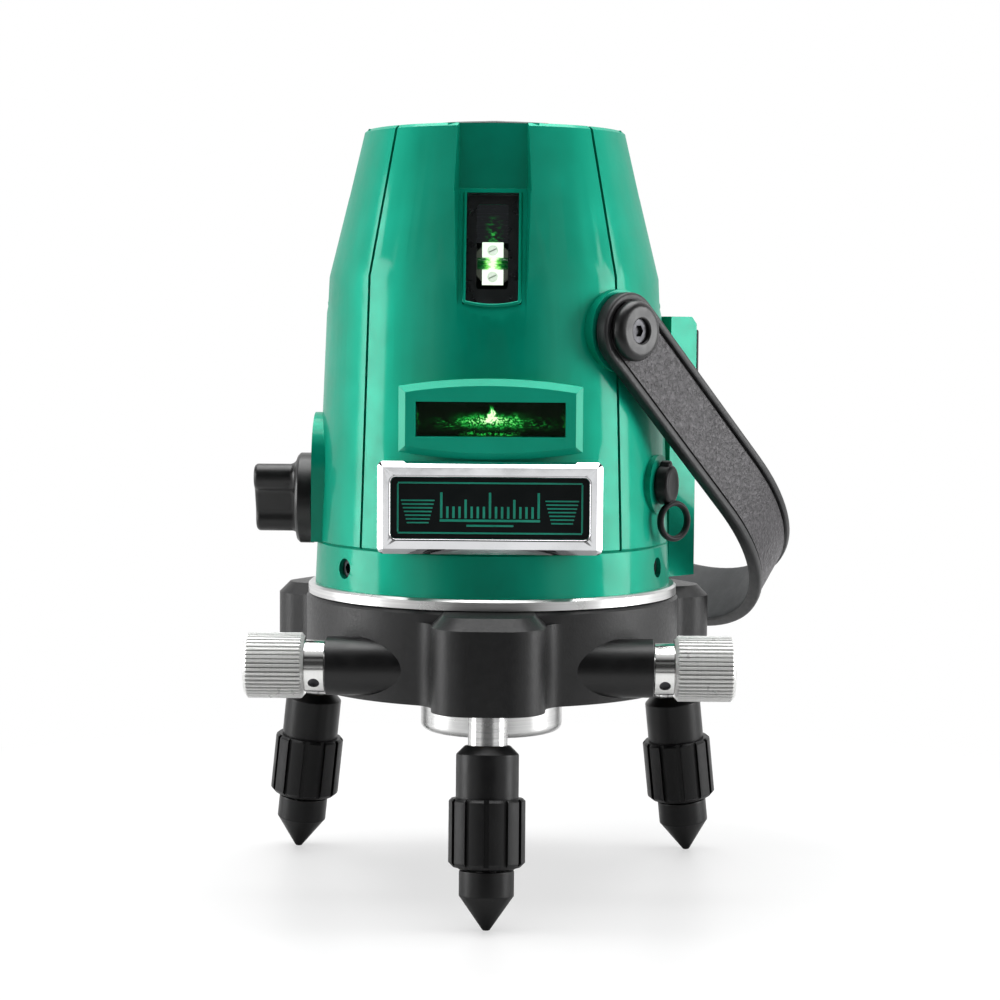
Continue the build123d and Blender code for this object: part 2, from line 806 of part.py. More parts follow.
def shell_finish(azimuth):
    """Hollow the wall, keep one quarter and set the window channel into it."""
    turned(Plane.XZ, Axis.Z, head_solid(wall_t, seam_z, crown_z), Mode.SUBTRACT)
    far = 2 * base_r
    apex = seam_gap / sqrt(2)
    with BuildSketch(level_plane(azimuth, seam_z)) as flat:
        with BuildLine():
            Polyline((0, -apex), (-far, -far - apex), (far, -far - apex), close=True)
        make_face()
    extrude(flat.sketch, amount=crown_rise, mode=Mode.INTERSECT)
    lean = radians(pane_lean)
    back = (pane_t + pane_ledge) / cos(lean)
    foot = pane_foot_r
    with BuildSketch(side_plane(azimuth)) as flat:
        with BuildLine():
            outline = [(wall_r(pane_low) - tray_low_inset, pane_low - 4)]
            outline += [(foot - back - 0.2, pane_low - 1.5)]
            outline += [(foot - back, pane_low), (foot - back - pane_rise * tan(lean), pane_high)]
            outline += [(channel_floor_r - tray_back, pane_high + 2)]
            outline += [(channel_floor_r - tray_back, crown_z)]
            outline += [(crown_r - tray_inset, crown_z), (knee_r - tray_inset, knee_z)]
            Polyline(*outline, close=True)
        make_face()
    extrude(flat.sketch, amount=tray_half, both=True)
    floor_w = pane_w + 2 * pane_rim
    with BuildSketch(pane_plane(azimuth)) as flat:
        with Locations((0, (pane_len - pane_exit) / 2)):
            Rectangle(floor_w, pane_len + pane_exit)
    extrude(flat.sketch, amount=channel_cut, taper=-channel_flare, mode=Mode.SUBTRACT)
    with BuildSketch(face_plane(azimuth, channel_floor_r, pane_high)) as flat:
        with Locations((0, crown_z - pane_high)):
            Rectangle(floor_w, 2 * (crown_z - pane_high))
    extrude(flat.sketch, amount=channel_cut, taper=-channel_flare, mode=Mode.SUBTRACT)
    with BuildSketch(pane_plane(azimuth)) as flat:
        with Locations((0, pane_foot_up + pane_h / 2)):
            Rectangle(pane_w, pane_h)
    extrude(flat.sketch, amount=-pane_t, mode=Mode.SUBTRACT)
    with BuildSketch(pane_plane(azimuth)) as flat:
        with Locations((0, pane_foot_up + pane_h / 2)):
            Rectangle(pane_w - 2 * pane_border, pane_h - 2 * pane_border)
    extrude(flat.sketch, amount=-4 * pane_t, mode=Mode.SUBTRACT)
    with BuildSketch(u_plane(-base_r, pivot_z)) as flat:
        Circle(pivot_screw_r)
    extrude(flat.sketch, amount=2 * base_r, mode=Mode.SUBTRACT)


with BuildPart() as front_shell:
    shell_start()
    with BuildSketch(face_plane(0, badge_seat, badge_z)):
        RectangleRounded(badge_w - 1, badge_h - 1, badge_corner)
    extrude(amount=-badge_seat / 2)
    shell_finish(0)
    with BuildSketch(face_plane(0, 0, horizon_z)):
        Rectangle(horizon_pane_w + 2 * slip_gap, horizon_pane_h + 2 * slip_gap)
    extrude(amount=base_r, mode=Mode.SUBTRACT)
front_shell.part.label = "front_shell"
export_step(front_shell.part, "parts/front_shell.step")

with BuildPart() as right_shell:
    shell_start()
    with BuildSketch(face_plane(plug_azimuth, plug_seat, plug_z)):
        Circle(plug_pad_r)
    extrude(amount=-plug_seat / 3)
    shell_finish(90)
    with BuildSketch(face_plane(plug_azimuth, 0, plug_z)):
        Circle(plug_stem_r + face_gap)
    extrude(amount=base_r, mode=Mode.SUBTRACT)
    cut_box_space(slip_gap)
right_shell.part.label = "right_shell"
export_step(right_shell.part, "parts/right_shell.step")

with BuildPart() as back_shell:
    shell_start()
    shell_finish(180)
    cut_box_space(slip_gap)
back_shell.part.label = "back_shell"
export_step(back_shell.part, "parts/back_shell.step")

with BuildPart() as left_shell:
    shell_start()
    with BuildSketch(face_plane(270, lock_pad_face, seam_z)):
        with Locations((0, (lock_pad_top_rise - lock_pad_w / 2) / 2)):
            Rectangle(lock_pad_w, lock_pad_top_rise - lock_pad_w / 2)
        with Locations((0, lock_pad_top_rise - lock_pad_w / 2)):
            Circle(lock_pad_w / 2)
        with Locations((0, -lock_pad_w / 2)):
            Rectangle(lock_pad_w, lock_pad_w, mode=Mode.SUBTRACT)
    extrude(amount=-lock_pad_face / 3)
    shell_finish(270)
    with BuildSketch(face_plane(270, 0, lock_z)):
        Circle(lock_shaft_r + face_gap)
    extrude(amount=base_r, mode=Mode.SUBTRACT)
left_shell.part.label = "left_shell"
export_step(left_shell.part, "parts/left_shell.step")

with BuildPart() as vertical_windows:
    for azimuth in shell_azimuths.values():
        with BuildSketch(pane_plane(azimuth).offset(-pane_t)):
            with Locations((0, pane_foot_up + pane_h / 2)):
                Rectangle(pane_w - 2 * slip_gap, pane_h - 2 * slip_gap)
        extrude(amount=pane_t - slip_gap)
vertical_windows.part.label = "vertical_windows"
export_step(vertical_windows.part, "parts/vertical_windows.step")

with BuildPart() as window_bezel:
    with BuildSketch(face_plane(0, bezel_face, horizon_z)):
        with BuildLine():
            half_w = bezel_w / 2
            half_h = bezel_h_side / 2
            ThreePointArc((-half_w, half_h), (0, half_h + bezel_bow), (half_w, half_h))
            Line((half_w, half_h), (half_w, -half_h))
            ThreePointArc((half_w, -half_h), (0, -half_h - bezel_bow), (-half_w, -half_h))
            Line((-half_w, -half_h), (-half_w, half_h))
        make_face()
    extrude(amount=-bezel_face / 4)
    chamfer(window_bezel.faces().sort_by(Axis.Y)[0].edges(), bezel_bevel)
    with BuildSketch(face_plane(0, 0, horizon_z)):
        Rectangle(opening_w, opening_h)
    extrude(amount=2 * base_r, mode=Mode.SUBTRACT)
    turned(Plane.XZ, Axis.Z, head_solid(0, seam_z, crown_z), Mode.SUBTRACT)
    pane_face = wall_r(horizon_z) - horizon_sink
    with BuildSketch(face_plane(0, pane_face - base_r, horizon_z)):
        Rectangle(horizon_pane_w, horizon_pane_h)
    extrude(amount=base_r, mode=Mode.SUBTRACT)
window_bezel.part.label = "window_bezel"
export_step(window_bezel.part, "parts/window_bezel.step")

with BuildPart() as horizontal_window:
    with BuildSketch(face_plane(0, pane_face - horizon_pane_t, horizon_z)):
        Rectangle(horizon_pane_w - 2 * slip_gap, horizon_pane_h - 2 * slip_gap)
    extrude(amount=horizon_pane_t)
horizontal_window.part.label = "horizontal_window"
export_step(horizontal_window.part, "parts/horizontal_window.step")

with BuildPart() as badge_frame:
    with BuildSketch(face_plane(0, badge_seat, badge_z)):
        RectangleRounded(badge_w, badge_h, badge_corner)
        RectangleRounded(badge_open_w, badge_open_h, badge_corner, mode=Mode.SUBTRACT)
    extrude(amount=badge_t)
    front = badge_frame.faces().sort_by(Axis.Y)[0]
    outer_edges, inner_edges = front.outer_wire().edges(), front.inner_wires()[0].edges()
    chamfer(outer_edges, badge_bevel)
    fillet(inner_edges, badge_inner_round)
badge_frame.part.label = "badge_frame"
export_step(badge_frame.part, "parts/badge_frame.step")

with BuildPart() as badge_plate:
    with BuildSketch(face_plane(0, badge_seat, badge_z)):
        plate_w = badge_open_w - 2 * slip_gap
        plate_h = badge_open_h - 2 * slip_gap
        RectangleRounded(plate_w, plate_h, badge_corner - slip_gap)
    extrude(amount=badge_plate_t)
badge_plate.part.label = "badge_plate"
export_step(badge_plate.part, "parts/badge_plate.step")

pad_face = strap_in - face_gap
with BuildPart() as handle_pads:
    for side in (-1, 1):
        with BuildSketch(pivot_plane(side, pad_face)):
            Circle(pad_r)
        extrude(amount=-pad_depth)
    turned(Plane.XZ, Axis.Z, head_solid(0, seam_z, crown_z), Mode.SUBTRACT)
    with BuildSketch(u_plane(-base_r, pivot_z)):
        Circle(pivot_screw_r)
    extrude(amount=2 * base_r, mode=Mode.SUBTRACT)
handle_pads.part.label = "handle_pads"
export_step(handle_pads.part, "parts/handle_pads.step")

strap_out = strap_in + strap_t
screw_end = upright_out - screw_in_upright
cap_low = strap_out + face_gap
with BuildPart() as handle_caps:
    for side in (-1, 1):
        plane = pivot_plane(side, cap_low)
        with BuildSketch(plane):
            Circle(cap_r)
        extrude(amount=cap_h)
        with BuildSketch(plane.offset(cap_h - pivot_screw_head - pivot_screw_sunk)):
            Circle(cap_recess_r)
        extrude(amount=cap_h, mode=Mode.SUBTRACT)
        with BuildSketch(plane.offset(pad_face - cap_low)):
            Circle(pivot_sleeve_r)
        extrude(amount=cap_low - pad_face)
        with BuildSketch(plane.offset(pad_face - cap_low)):
            Circle(pivot_screw_r)
        extrude(amount=cap_low, mode=Mode.SUBTRACT)
    rims = [e for e in handle_caps.edges().filter_by(GeomType.CIRCLE) if abs(e.radius - cap_r) < 0.01]
    fillet([e for e in rims if abs(e.center().dot(u_dir)) > cap_low + cap_h / 2], cap_round)
    mouths = [e for e in handle_caps.edges().filter_by(GeomType.CIRCLE) if abs(e.radius - cap_recess_r) < 0.01]
    fillet([e for e in mouths if abs(e.center().dot(u_dir)) > cap_low + cap_h - 0.01], cap_recess_round)
handle_caps.part.label = "handle_caps"
export_step(handle_caps.part, "parts/handle_caps.step")

with BuildPart() as handle_screws:
    for side in (-1, 1):
        plane = pivot_plane(side, cap_low + cap_h - pivot_screw_sunk)
        with BuildSketch(plane.offset(-pivot_screw_head)):
            Circle(cap_recess_r - slip_gap)
        extrude(amount=pivot_screw_head)
        with BuildSketch(plane.offset(-pivot_screw_head)):
            Circle(pivot_screw_r)
        extrude(amount=screw_end + pivot_screw_head + pivot_screw_sunk - cap_low - cap_h)
        with BuildSketch(plane.offset(-pivot_screw_head + 0.2)):
            RegularPolygon(pivot_hex_r, 6)
        extrude(amount=pivot_screw_head, mode=Mode.SUBTRACT)
handle_screws.part.label = "handle_screws"
export_step(handle_screws.part, "parts/handle_screws.step")

handle_plane = Plane((0, 0, pivot_z), x_dir=u_dir, z_dir=d_dir * lean_cos + Vector(0, 0, lean_sin))
with BuildPart() as handle_strap:
    with BuildSketch(handle_plane):
        edges = ((strap_out, strap_reach + strap_t, Mode.ADD), (strap_in, strap_reach, Mode.SUBTRACT))
        for half, reach, how in edges:
            with BuildLine():
                Line((-half, strap_arm), (-half, 0))
                Line((-half, 0), (half, 0))
                Line((half, 0), (half, strap_arm))
                EllipticalCenterArc((0, strap_arm), half, reach - strap_arm, start_angle=0, arc_size=180)
            make_face(mode=how)
    extrude(amount=strap_w / 2, both=True)
    for side in (-1, 1):
        plane = pivot_plane(side, strap_in)
        with BuildSketch(plane):
            Circle(strap_w / 2)
        extrude(amount=strap_t)
        with BuildSketch(plane):
            Circle(pivot_sleeve_r + run_gap)
        extrude(amount=strap_t, mode=Mode.SUBTRACT)
handle_strap.part.label = "handle_strap"
export_step(handle_strap.part, "parts/handle_strap.step")

seat_d = box_out - door_t - slip_gap
hinge_d = seat_d + hinge_out
hinge_z = box_low + door_hinge_up
with BuildPart() as battery_box:
    with BuildSketch(across):
        with BuildLine():
            outline = [(box_in, box_low), (seat_d, box_low), (seat_d, box_high - box_bevel)]
            outline += [(seat_d - box_bevel, box_high), (box_in, box_high)]
            Polyline(*outline, close=True)
        make_face()
    extrude(amount=box_half, both=True)
    with BuildSketch(across):
        with BuildLine():
            outline = [(cheek_in, box_low), (cheek_out, box_low), (cheek_out, box_high - cheek_bevel)]
            outline += [(cheek_out - cheek_bevel, box_high), (cheek_in, box_high)]
            Polyline(*outline, close=True)
        make_face()
    extrude(amount=box_half + cheek_t, both=True)
    with BuildSketch(d_plane(seat_d, (box_low + box_high) / 2)):
        Rectangle(2 * (box_half + face_gap), 2 * (box_high - box_low))
    extrude(amount=box_out, mode=Mode.SUBTRACT)
    with BuildSketch(u_plane(0, 0)):
        with Locations((hinge_d, hinge_z)):
            Circle(hinge_r + hinge_wall)
    extrude(amount=box_half + cheek_t / 2, both=True)
    with BuildSketch(d_plane(box_in + box_wall, (box_low + box_high) / 2)):
        Rectangle(2 * (box_half - box_wall), box_high - box_low - 2 * box_wall - box_bevel)
    extrude(amount=2 * box_out, mode=Mode.SUBTRACT)
    with BuildSketch(u_plane(0, 0)):
        with Locations((hinge_d, hinge_z)):
            Circle(hinge_r + hinge_room)
        with Locations((hinge_d + hinge_r + hinge_room, hinge_z)):
            Rectangle(2 * (hinge_r + hinge_room), 2 * (hinge_r + hinge_room))
    extrude(amount=box_half - ear_w, both=True, mode=Mode.SUBTRACT)
    with BuildSketch(u_plane(0, 0)):
        with Locations((hinge_d, hinge_z)):
            Circle(hinge_pin_r + run_gap)
    extrude(amount=box_half - ear_w / 3, both=True, mode=Mode.SUBTRACT)
battery_box.part.label = "battery_box"
export_step(battery_box.part, "parts/battery_box.step")

door_low = hinge_z + hinge_r + hinge_room + 0.5
with BuildPart() as battery_door:
    with BuildSketch(across):
        with BuildLine():
            door_high = box_high - box_bevel
            outline = [(seat_d + slip_gap, door_low), (box_out, door_low), (box_out, door_high - 0.5)]
            outline += [(box_out - 0.5, door_high), (seat_d + slip_gap, door_high)]
            Polyline(*outline, close=True)
        make_face()
    extrude(amount=box_half, both=True)
    with BuildSketch(u_plane(0, 0)):
        with Locations((hinge_d, hinge_z)):
            Circle(hinge_r)
        with Locations(((seat_d + slip_gap + hinge_d + hinge_r) / 2, (hinge_z + door_low + 1) / 2)):
            Rectangle(hinge_d + hinge_r - seat_d - slip_gap, door_low + 1 - hinge_z)
    extrude(amount=box_half - ear_w - face_gap, both=True)
    with BuildSketch(u_plane(0, 0)):
        with Locations((hinge_d, hinge_z)):
            Circle(hinge_pin_r)
    extrude(amount=box_half - ear_w / 2, both=True)
battery_door.part.label = "battery_door"
export_step(battery_door.part, "parts/battery_door.step")

with BuildPart() as battery_latch:
    with BuildSketch(d_plane(box_out, seam_z + latch_low_rise + latch_h / 2)):
        Rectangle(2 * (box_half + cheek_t - slip_gap), latch_h)
    extrude(amount=latch_t)
    outer_face = battery_latch.faces().sort_by(Axis(origin=(0, 0, 0), direction=d_dir))[-1]
    chamfer(outer_face.edges(), latch_bevel)
battery_latch.part.label = "battery_latch"
export_step(battery_latch.part, "parts/battery_latch.step")

with BuildPart() as battery_cells:
    cell_d = (box_in + box_wall + seat_d) / 2
    with BuildSketch(diagonal(box_low + box_wall + box_bevel / 2)):
        with Locations((-cell_r - slip_gap, cell_d), (cell_r + slip_gap, cell_d)):
            Circle(cell_r)
    extrude(amount=cell_len)
battery_cells.part.label = "battery_cells"
export_step(battery_cells.part, "parts/battery_cells.step")

pin_z = pivot_z
with BuildPart() as chassis:
    with BuildSketch(Plane.XY.offset(deck_low)):
        Circle(spigot_r - spigot_t - deck_gap)
        Circle(beam_hole_r + 2, mode=Mode.SUBTRACT)
    extrude(amount=deck_t)
    for side in (-1, 1):
        with BuildSketch(diagonal(deck_high - overlap)):
            with Locations((side * (upright_in + upright_out) / 2, 0)):
                Rectangle(upright_out - upright_in, 2 * upright_half)
        extrude(amount=pin_z + upright_half - deck_high + overlap)
        low = seam_z + web_low_rise
        strip_r = wall_r(pin_z) - wall_t - strip_gap
        with BuildSketch(diagonal(low)):
            with Locations((side * (upright_out - 1 + strip_r - 1) / 2, 0)):
                Rectangle(strip_r - upright_out, web_w)
        extrude(amount=pin_z + upright_half - low)
    for azimuth in (45, 135, 225, 315):
        low = box_high + 1 if azimuth == 135 else seam_z + face_gap
        inset = wall_t + strip_gap
        high = crown_z - top_cap_t
        outline = [(wall_r(low) - inset, low)]
        if low < knee_z:
            outline += [(knee_r - inset, knee_z)]
        outline += [(wall_r(high) - inset, high), (wall_r(high) - inset - strip_t, high)]
        if low < knee_z:
            outline += [(knee_r - inset - strip_t, knee_z)]
        outline += [(wall_r(low) - inset - strip_t, low)]
        with BuildSketch(side_plane(azimuth - strip_arc / 2)):
            with BuildLine():
                Polyline(*outline, close=True)
            make_face()
        revolve(axis=Axis.Z, revolution_arc=strip_arc)
        with BuildSketch(level_plane(azimuth, ring_high - ring_t)):
            with Locations((0, -(ring_in_r + wall_r(high) - inset) / 2)):
                Rectangle(spoke_w, wall_r(high) - inset - ring_in_r - 1)
        extrude(amount=ring_t)
    with BuildSketch(Plane.XY.offset(ring_high - ring_t)):
        Circle(ring_out_r)
        Circle(ring_in_r, mode=Mode.SUBTRACT)
    extrude(amount=ring_t)
    with BuildSketch(Plane((bracket_x, 0, deck_high - overlap), x_dir=(1, 0, 0), z_dir=(0, 0, 1))):
        Rectangle(bracket_t, bracket_w)
    extrude(amount=lock_z + bracket_over - deck_high + overlap)
    with BuildSketch(Plane((lock_plate_x, 0, deck_high - overlap), x_dir=(1, 0, 0), z_dir=(0, 0, 1))):
        guide_t = lock_plate_t + 2 * face_gap
        guide_w = 2 * (lock_plate_half + face_gap)
        Rectangle(guide_t + 2 * guide_wall, guide_w + 2 * guide_wall)
        Rectangle(guide_t, guide_w, mode=Mode.SUBTRACT)
    extrude(amount=guide_h)
    with Locations(Location((bracket_x, 0, lock_z), (0, 90, 0))):
        Cylinder(lock_shaft_r + run_gap, 2 * bracket_t, mode=Mode.SUBTRACT)
    with BuildSketch(u_plane(0, pin_z)):
        Circle(gimbal_pin_r + run_gap)
    extrude(amount=upright_in + gimbal_pin_in + face_gap, both=True, mode=Mode.SUBTRACT)
    for side in (-1, 1):
        with BuildSketch(pivot_plane(side, screw_end)):
            Circle(pivot_screw_r)
        extrude(amount=base_r, mode=Mode.SUBTRACT)
    cut_box_space(slip_gap)
chassis.part.label = "chassis"
export_step(chassis.part, "parts/chassis.step")

with BuildPart() as circuit_board:
    with BuildSketch(Plane.XY.offset(ring_high)):
        Circle(board_r)
    extrude(amount=board_t)
circuit_board.part.label = "circuit_board"
export_step(circuit_board.part, "parts/circuit_board.step")

with BuildPart() as top_cap:
    with BuildSketch(Plane.XY.offset(crown_z - top_cap_t)):
        Circle(top_cap_r)
        for azimuth in shell_azimuths.values():
            with Locations(Location(out_dir(azimuth) * crown_r, azimuth)):
                tray_deep = crown_r - channel_floor_r + tray_back + slip_gap
                Rectangle(2 * (tray_half + slip_gap), 2 * tray_deep, mode=Mode.SUBTRACT)
        with Locations(*button_centres):
            Circle(button_r + face_gap, mode=Mode.SUBTRACT)
    extrude(amount=top_cap_t)
top_cap.part.label = "top_cap"
export_step(top_cap.part, "parts/top_cap.step")

with BuildPart() as keypad_panel:
    with BuildSketch(Plane.XY.offset(crown_z)):
        Circle(panel_r)
    extrude(amount=panel_t)
    chamfer(keypad_panel.edges().group_by(Axis.Z)[-1], panel_bevel)
    with BuildSketch(Plane.XY.offset(crown_z)):
        with Locations(*button_centres):
            Circle(button_r + face_gap)
        with Locations(led_centre):
            Circle(led_r)
    extrude(amount=panel_t, mode=Mode.SUBTRACT)
keypad_panel.part.label = "keypad_panel"
export_step(keypad_panel.part, "parts/keypad_panel.step")

with BuildPart() as indicator_led:
    with BuildSketch(Plane.XY.offset(crown_z)):
        with Locations(led_centre):
            Circle(led_r)
    extrude(amount=panel_t + led_up)
    fillet(indicator_led.edges().group_by(Axis.Z)[-1], led_up)
indicator_led.part.label = "indicator_led"
export_step(indicator_led.part, "parts/indicator_led.step")

button_low = ring_high + board_t + button_press + face_gap
for number, centre in enumerate(button_centres, 1):
    with BuildPart() as button:
        with BuildSketch(Plane.XY.offset(button_low)):
            with Locations(centre):
                Circle(button_r)
        extrude(amount=panel_top + button_up - button_low)
        fillet(button.edges().group_by(Axis.Z)[-1], button_round)
    button.part.label = f"button_{number}"
    export_step(button.part, f"parts/button_{number}.step")

disc_low = lock_pad_face + face_gap
with BuildPart() as lock_knob:
    with BuildSketch(face_plane(270, disc_low, lock_z)):
        Circle(lock_disc_r)
    extrude(amount=lock_disc_t)
    chamfer(lock_knob.edges().group_by(Axis.X)[0], lock_disc_bevel)
    with BuildSketch(face_plane(270, disc_low + lock_disc_t, lock_z)) as wing:
        with Locations(Location((0, 0), lock_wing_turn)):
            lobe_up = lock_wing_len / 2 - lock_lobe_r
            Rectangle(lock_waist_w, 2 * lobe_up)
            with Locations((0, lobe_up), (0, -lobe_up)):
                Circle(lock_lobe_r)
        fillet(wing.vertices(), lock_waist_round)
    extrude(amount=lock_wing_h)
    flats = lock_knob.faces().filter_by(Axis.X).sort_by(Axis.X)
    fillet(flats[1].inner_wires()[0].edges(), lock_root)
    fillet(lock_knob.faces().filter_by(Axis.X).sort_by(Axis.X)[0].edges(), lock_wing_round)
    with BuildSketch(face_plane(270, 0, lock_z)):
        Circle(lock_shaft_r)
    extrude(amount=disc_low + lock_bite, mode=Mode.SUBTRACT)
lock_knob.part.label = "lock_knob"
export_step(lock_knob.part, "parts/lock_knob.step")

with BuildPart() as lock_shaft:
    cam_end = -lock_plate_x - cam_t / 2
    with BuildSketch(face_plane(270, cam_end, lock_z)):
        Circle(lock_shaft_r)
    extrude(amount=disc_low + lock_bite - cam_end)
    with BuildSketch(Plane((lock_plate_x - cam_t / 2, 0, lock_z), x_dir=(0, 1, 0), z_dir=(1, 0, 0))):
        with BuildLine():
            ring = []
            for degrees in range(-10, 351, 10):
                grown = cam_rate * radians(min(90, max(0, 90 - degrees)))
                a = radians(degrees)
                ring.append(((cam_r + grown) * cos(a), (cam_r + grown) * sin(a)))
            Polyline(*ring[:-1], close=True)
        make_face()
    extrude(amount=cam_t)
lock_shaft.part.label = "lock_shaft"
export_step(lock_shaft.part, "parts/lock_shaft.step")

with BuildPart() as lock_plate:
    top_z = weight_low - lock_short - lock_lift
    low_z = deck_high + lock_plate_t
    with BuildSketch(Plane((lock_plate_x - lock_plate_t / 2, 0, 0), x_dir=(0, 1, 0), z_dir=(1, 0, 0))):
        with BuildLine():
            flat_half = lock_plate_half - lock_plate_bevel
            outline = [(-lock_plate_half, low_z), (lock_plate_half, low_z)]
            outline += [(lock_plate_half, top_z - lock_plate_drop), (flat_half, top_z)]
            outline += [(-flat_half, top_z), (-lock_plate_half, top_z - lock_plate_drop)]
            Polyline(*outline, close=True)
        make_face()
        window_top = lock_z + cam_r + cam_room
        window_low = lock_z - cam_r - lock_lift - cam_room
        with Locations((0, (window_top + window_low) / 2)):
            Rectangle(2 * (cam_r + lock_lift + cam_room), window_top - window_low, mode=Mode.SUBTRACT)
    extrude(amount=lock_plate_t)
lock_plate.part.label = "lock_plate"
export_step(lock_plate.part, "parts/lock_plate.step")

with BuildPart() as gimbal_ring:
    with BuildSketch(Plane.XY.offset(pin_z - gimbal_h / 2)):
        Circle(gimbal_out_r)
        Circle(gimbal_in_r, mode=Mode.SUBTRACT)
    extrude(amount=gimbal_h)
    for side in (-1, 1):
        with BuildSketch(pivot_plane(side, gimbal_in_r + 1)):
            Circle(gimbal_pin_r)
        extrude(amount=upright_in + gimbal_pin_in - gimbal_in_r - 1)
    with BuildSketch(d_plane(-base_r, pin_z)):
        Circle(gimbal_pin_r + run_gap)
    extrude(amount=2 * base_r, mode=Mode.SUBTRACT)
gimbal_ring.part.label = "gimbal_ring"
export_step(gimbal_ring.part, "parts/gimbal_ring.step")

with BuildPart() as pendulum_body:
    outline = [(0, weight_low), (weight_r, weight_low), (weight_r, weight_low + weight_h)]
    outline += [(stem_r, weight_low + weight_h), (stem_r, pin_z - hub_h / 2), (hub_r, pin_z - hub_h / 2)]
    outline += [(hub_r, pin_z + hub_h / 2), (stem_r, pin_z + hub_h / 2), (stem_r, module_z)]
    outline += [(0, module_z)]
    turned(Plane.XZ, Axis.Z, outline)
    with Locations((0, 0, module_z)):
        Box(2 * module_block, 2 * module_block, 2 * module_r + 2)
    for side in (-1, 1):
        with BuildSketch(d_plane(side * (hub_r - 2), pin_z)):
            Circle(gimbal_pin_r)
        extrude(amount=side * (gimbal_out_r - 1 - hub_r + 2))
    for azimuth in shell_azimuths.values():
        with BuildSketch(face_plane(azimuth, module_in, module_z)):
            Circle(module_r)
        extrude(amount=base_r, mode=Mode.SUBTRACT)
    with BuildSketch(face_plane(0, module_in, horizon_z)):
        Circle(module_r)
    extrude(amount=base_r, mode=Mode.SUBTRACT)
pendulum_body.part.label = "pendulum_body"
export_step(pendulum_body.part, "parts/pendulum_body.step")

module_places = [(azimuth, module_z, 0) for azimuth in shell_azimuths.values()] + [(0, horizon_z, 90)]
with BuildPart() as laser_barrels:
    for azimuth, z, turn in module_places:
        with BuildSketch(face_plane(azimuth, module_in, z)):
            Circle(module_r)
        extrude(amount=module_out - module_in)
laser_barrels.part.label = "laser_barrels"
export_step(laser_barrels.part, "parts/laser_barrels.step")


def clamp_plane(azimuth, r, z, turn):
    """Plane on a module's front: y runs along its clamp plate."""
    flat = face_plane(azimuth, r, z)
    side = flat.x_dir * cos(radians(turn)) + flat.y_dir * sin(radians(turn))
    return Plane(flat.origin, x_dir=side, z_dir=flat.z_dir)


with BuildPart() as lens_clamps:
    for azimuth, z, turn in module_places:
        plane = clamp_plane(azimuth, module_out, z, turn)
        with BuildSketch(plane):
            Rectangle(clamp_w, clamp_h)
        extrude(amount=clamp_t)
        with BuildSketch(plane):
            Rectangle(clamp_w, 2 * rod_r + 2 * slip_gap)
        extrude(amount=clamp_t, mode=Mode.SUBTRACT)
        with BuildSketch(plane):
            Rectangle(clamp_w, clamp_h)
        extrude(amount=clamp_floor)
        with BuildSketch(plane):
            with Locations((0, clamp_screw_up), (0, -clamp_screw_up)):
                Circle(clamp_screw_r / 2)
        extrude(amount=clamp_t, mode=Mode.SUBTRACT)
lens_clamps.part.label = "lens_clamps"
export_step(lens_clamps.part, "parts/lens_clamps.step")

with BuildPart() as clamp_screws:
    for azimuth, z, turn in module_places:
        plane = clamp_plane(azimuth, module_out, z, turn)
        with BuildSketch(plane):
            with Locations((0, clamp_screw_up), (0, -clamp_screw_up)):
                Circle(clamp_screw_r / 2)
        extrude(amount=clamp_t)
        with BuildSketch(plane.offset(clamp_t)):
            with Locations((0, clamp_screw_up), (0, -clamp_screw_up)):
                Circle(clamp_screw_r)
        extrude(amount=clamp_screw_head)
        with BuildSketch(plane.offset(clamp_t + clamp_screw_head / 2)):
            with Locations((0, clamp_screw_up), (0, -clamp_screw_up)):
                Rectangle(3 * clamp_screw_r, clamp_slot, rotation=clamp_slot_turn)
        extrude(amount=1, mode=Mode.SUBTRACT)
clamp_screws.part.label = "clamp_screws"
export_step(clamp_screws.part, "parts/clamp_screws.step")

with BuildPart() as rod_lenses:
    for azimuth, z, turn in module_places:
        plane = clamp_plane(azimuth, module_out + clamp_floor + rod_r, z, turn)
        rod_end = plane.origin - plane.x_dir * (rod_len / 2)
        with BuildSketch(Plane(rod_end, x_dir=plane.z_dir, z_dir=plane.x_dir)):
            Circle(rod_r)
        extrude(amount=rod_len)
rod_lenses.part.label = "rod_lenses"
export_step(rod_lenses.part, "parts/rod_lenses.step")

plug_low = plug_seat + face_gap
loop_z = plug_z - plug_r - plug_loop_hole_r - face_gap
with BuildPart() as jack_plug:
    with BuildSketch(face_plane(plug_azimuth, plug_low, plug_z)):
        Circle(plug_r)
        with Locations((0, plug_tab_up / 2)):
            RectangleRounded(plug_tab_w, plug_tab_up, plug_tab_round)
    extrude(amount=plug_t)
    with BuildSketch(face_plane(plug_azimuth, plug_low - plug_stem_len, plug_z)):
        Circle(plug_stem_r)
    extrude(amount=plug_stem_len)
    middle = face_plane(plug_azimuth, plug_low + plug_t / 2 + plug_loop_out, loop_z).origin
    loop_azimuth = plug_azimuth - plug_loop_turn
    with BuildSketch(Plane(middle, x_dir=right_dir(loop_azimuth), z_dir=out_dir(loop_azimuth))):
        Circle(plug_loop_r)
        Circle(plug_loop_hole_r, mode=Mode.SUBTRACT)
    extrude(amount=plug_loop_t / 2, both=True)
jack_plug.part.label = "jack_plug"
export_step(jack_plug.part, "parts/jack_plug.step")
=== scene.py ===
"""Looks of a line laser level on a tribrach base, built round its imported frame."""
from math import cos, pi, radians, sin

import bmesh
import bpy
from mathutils import Matrix, Vector


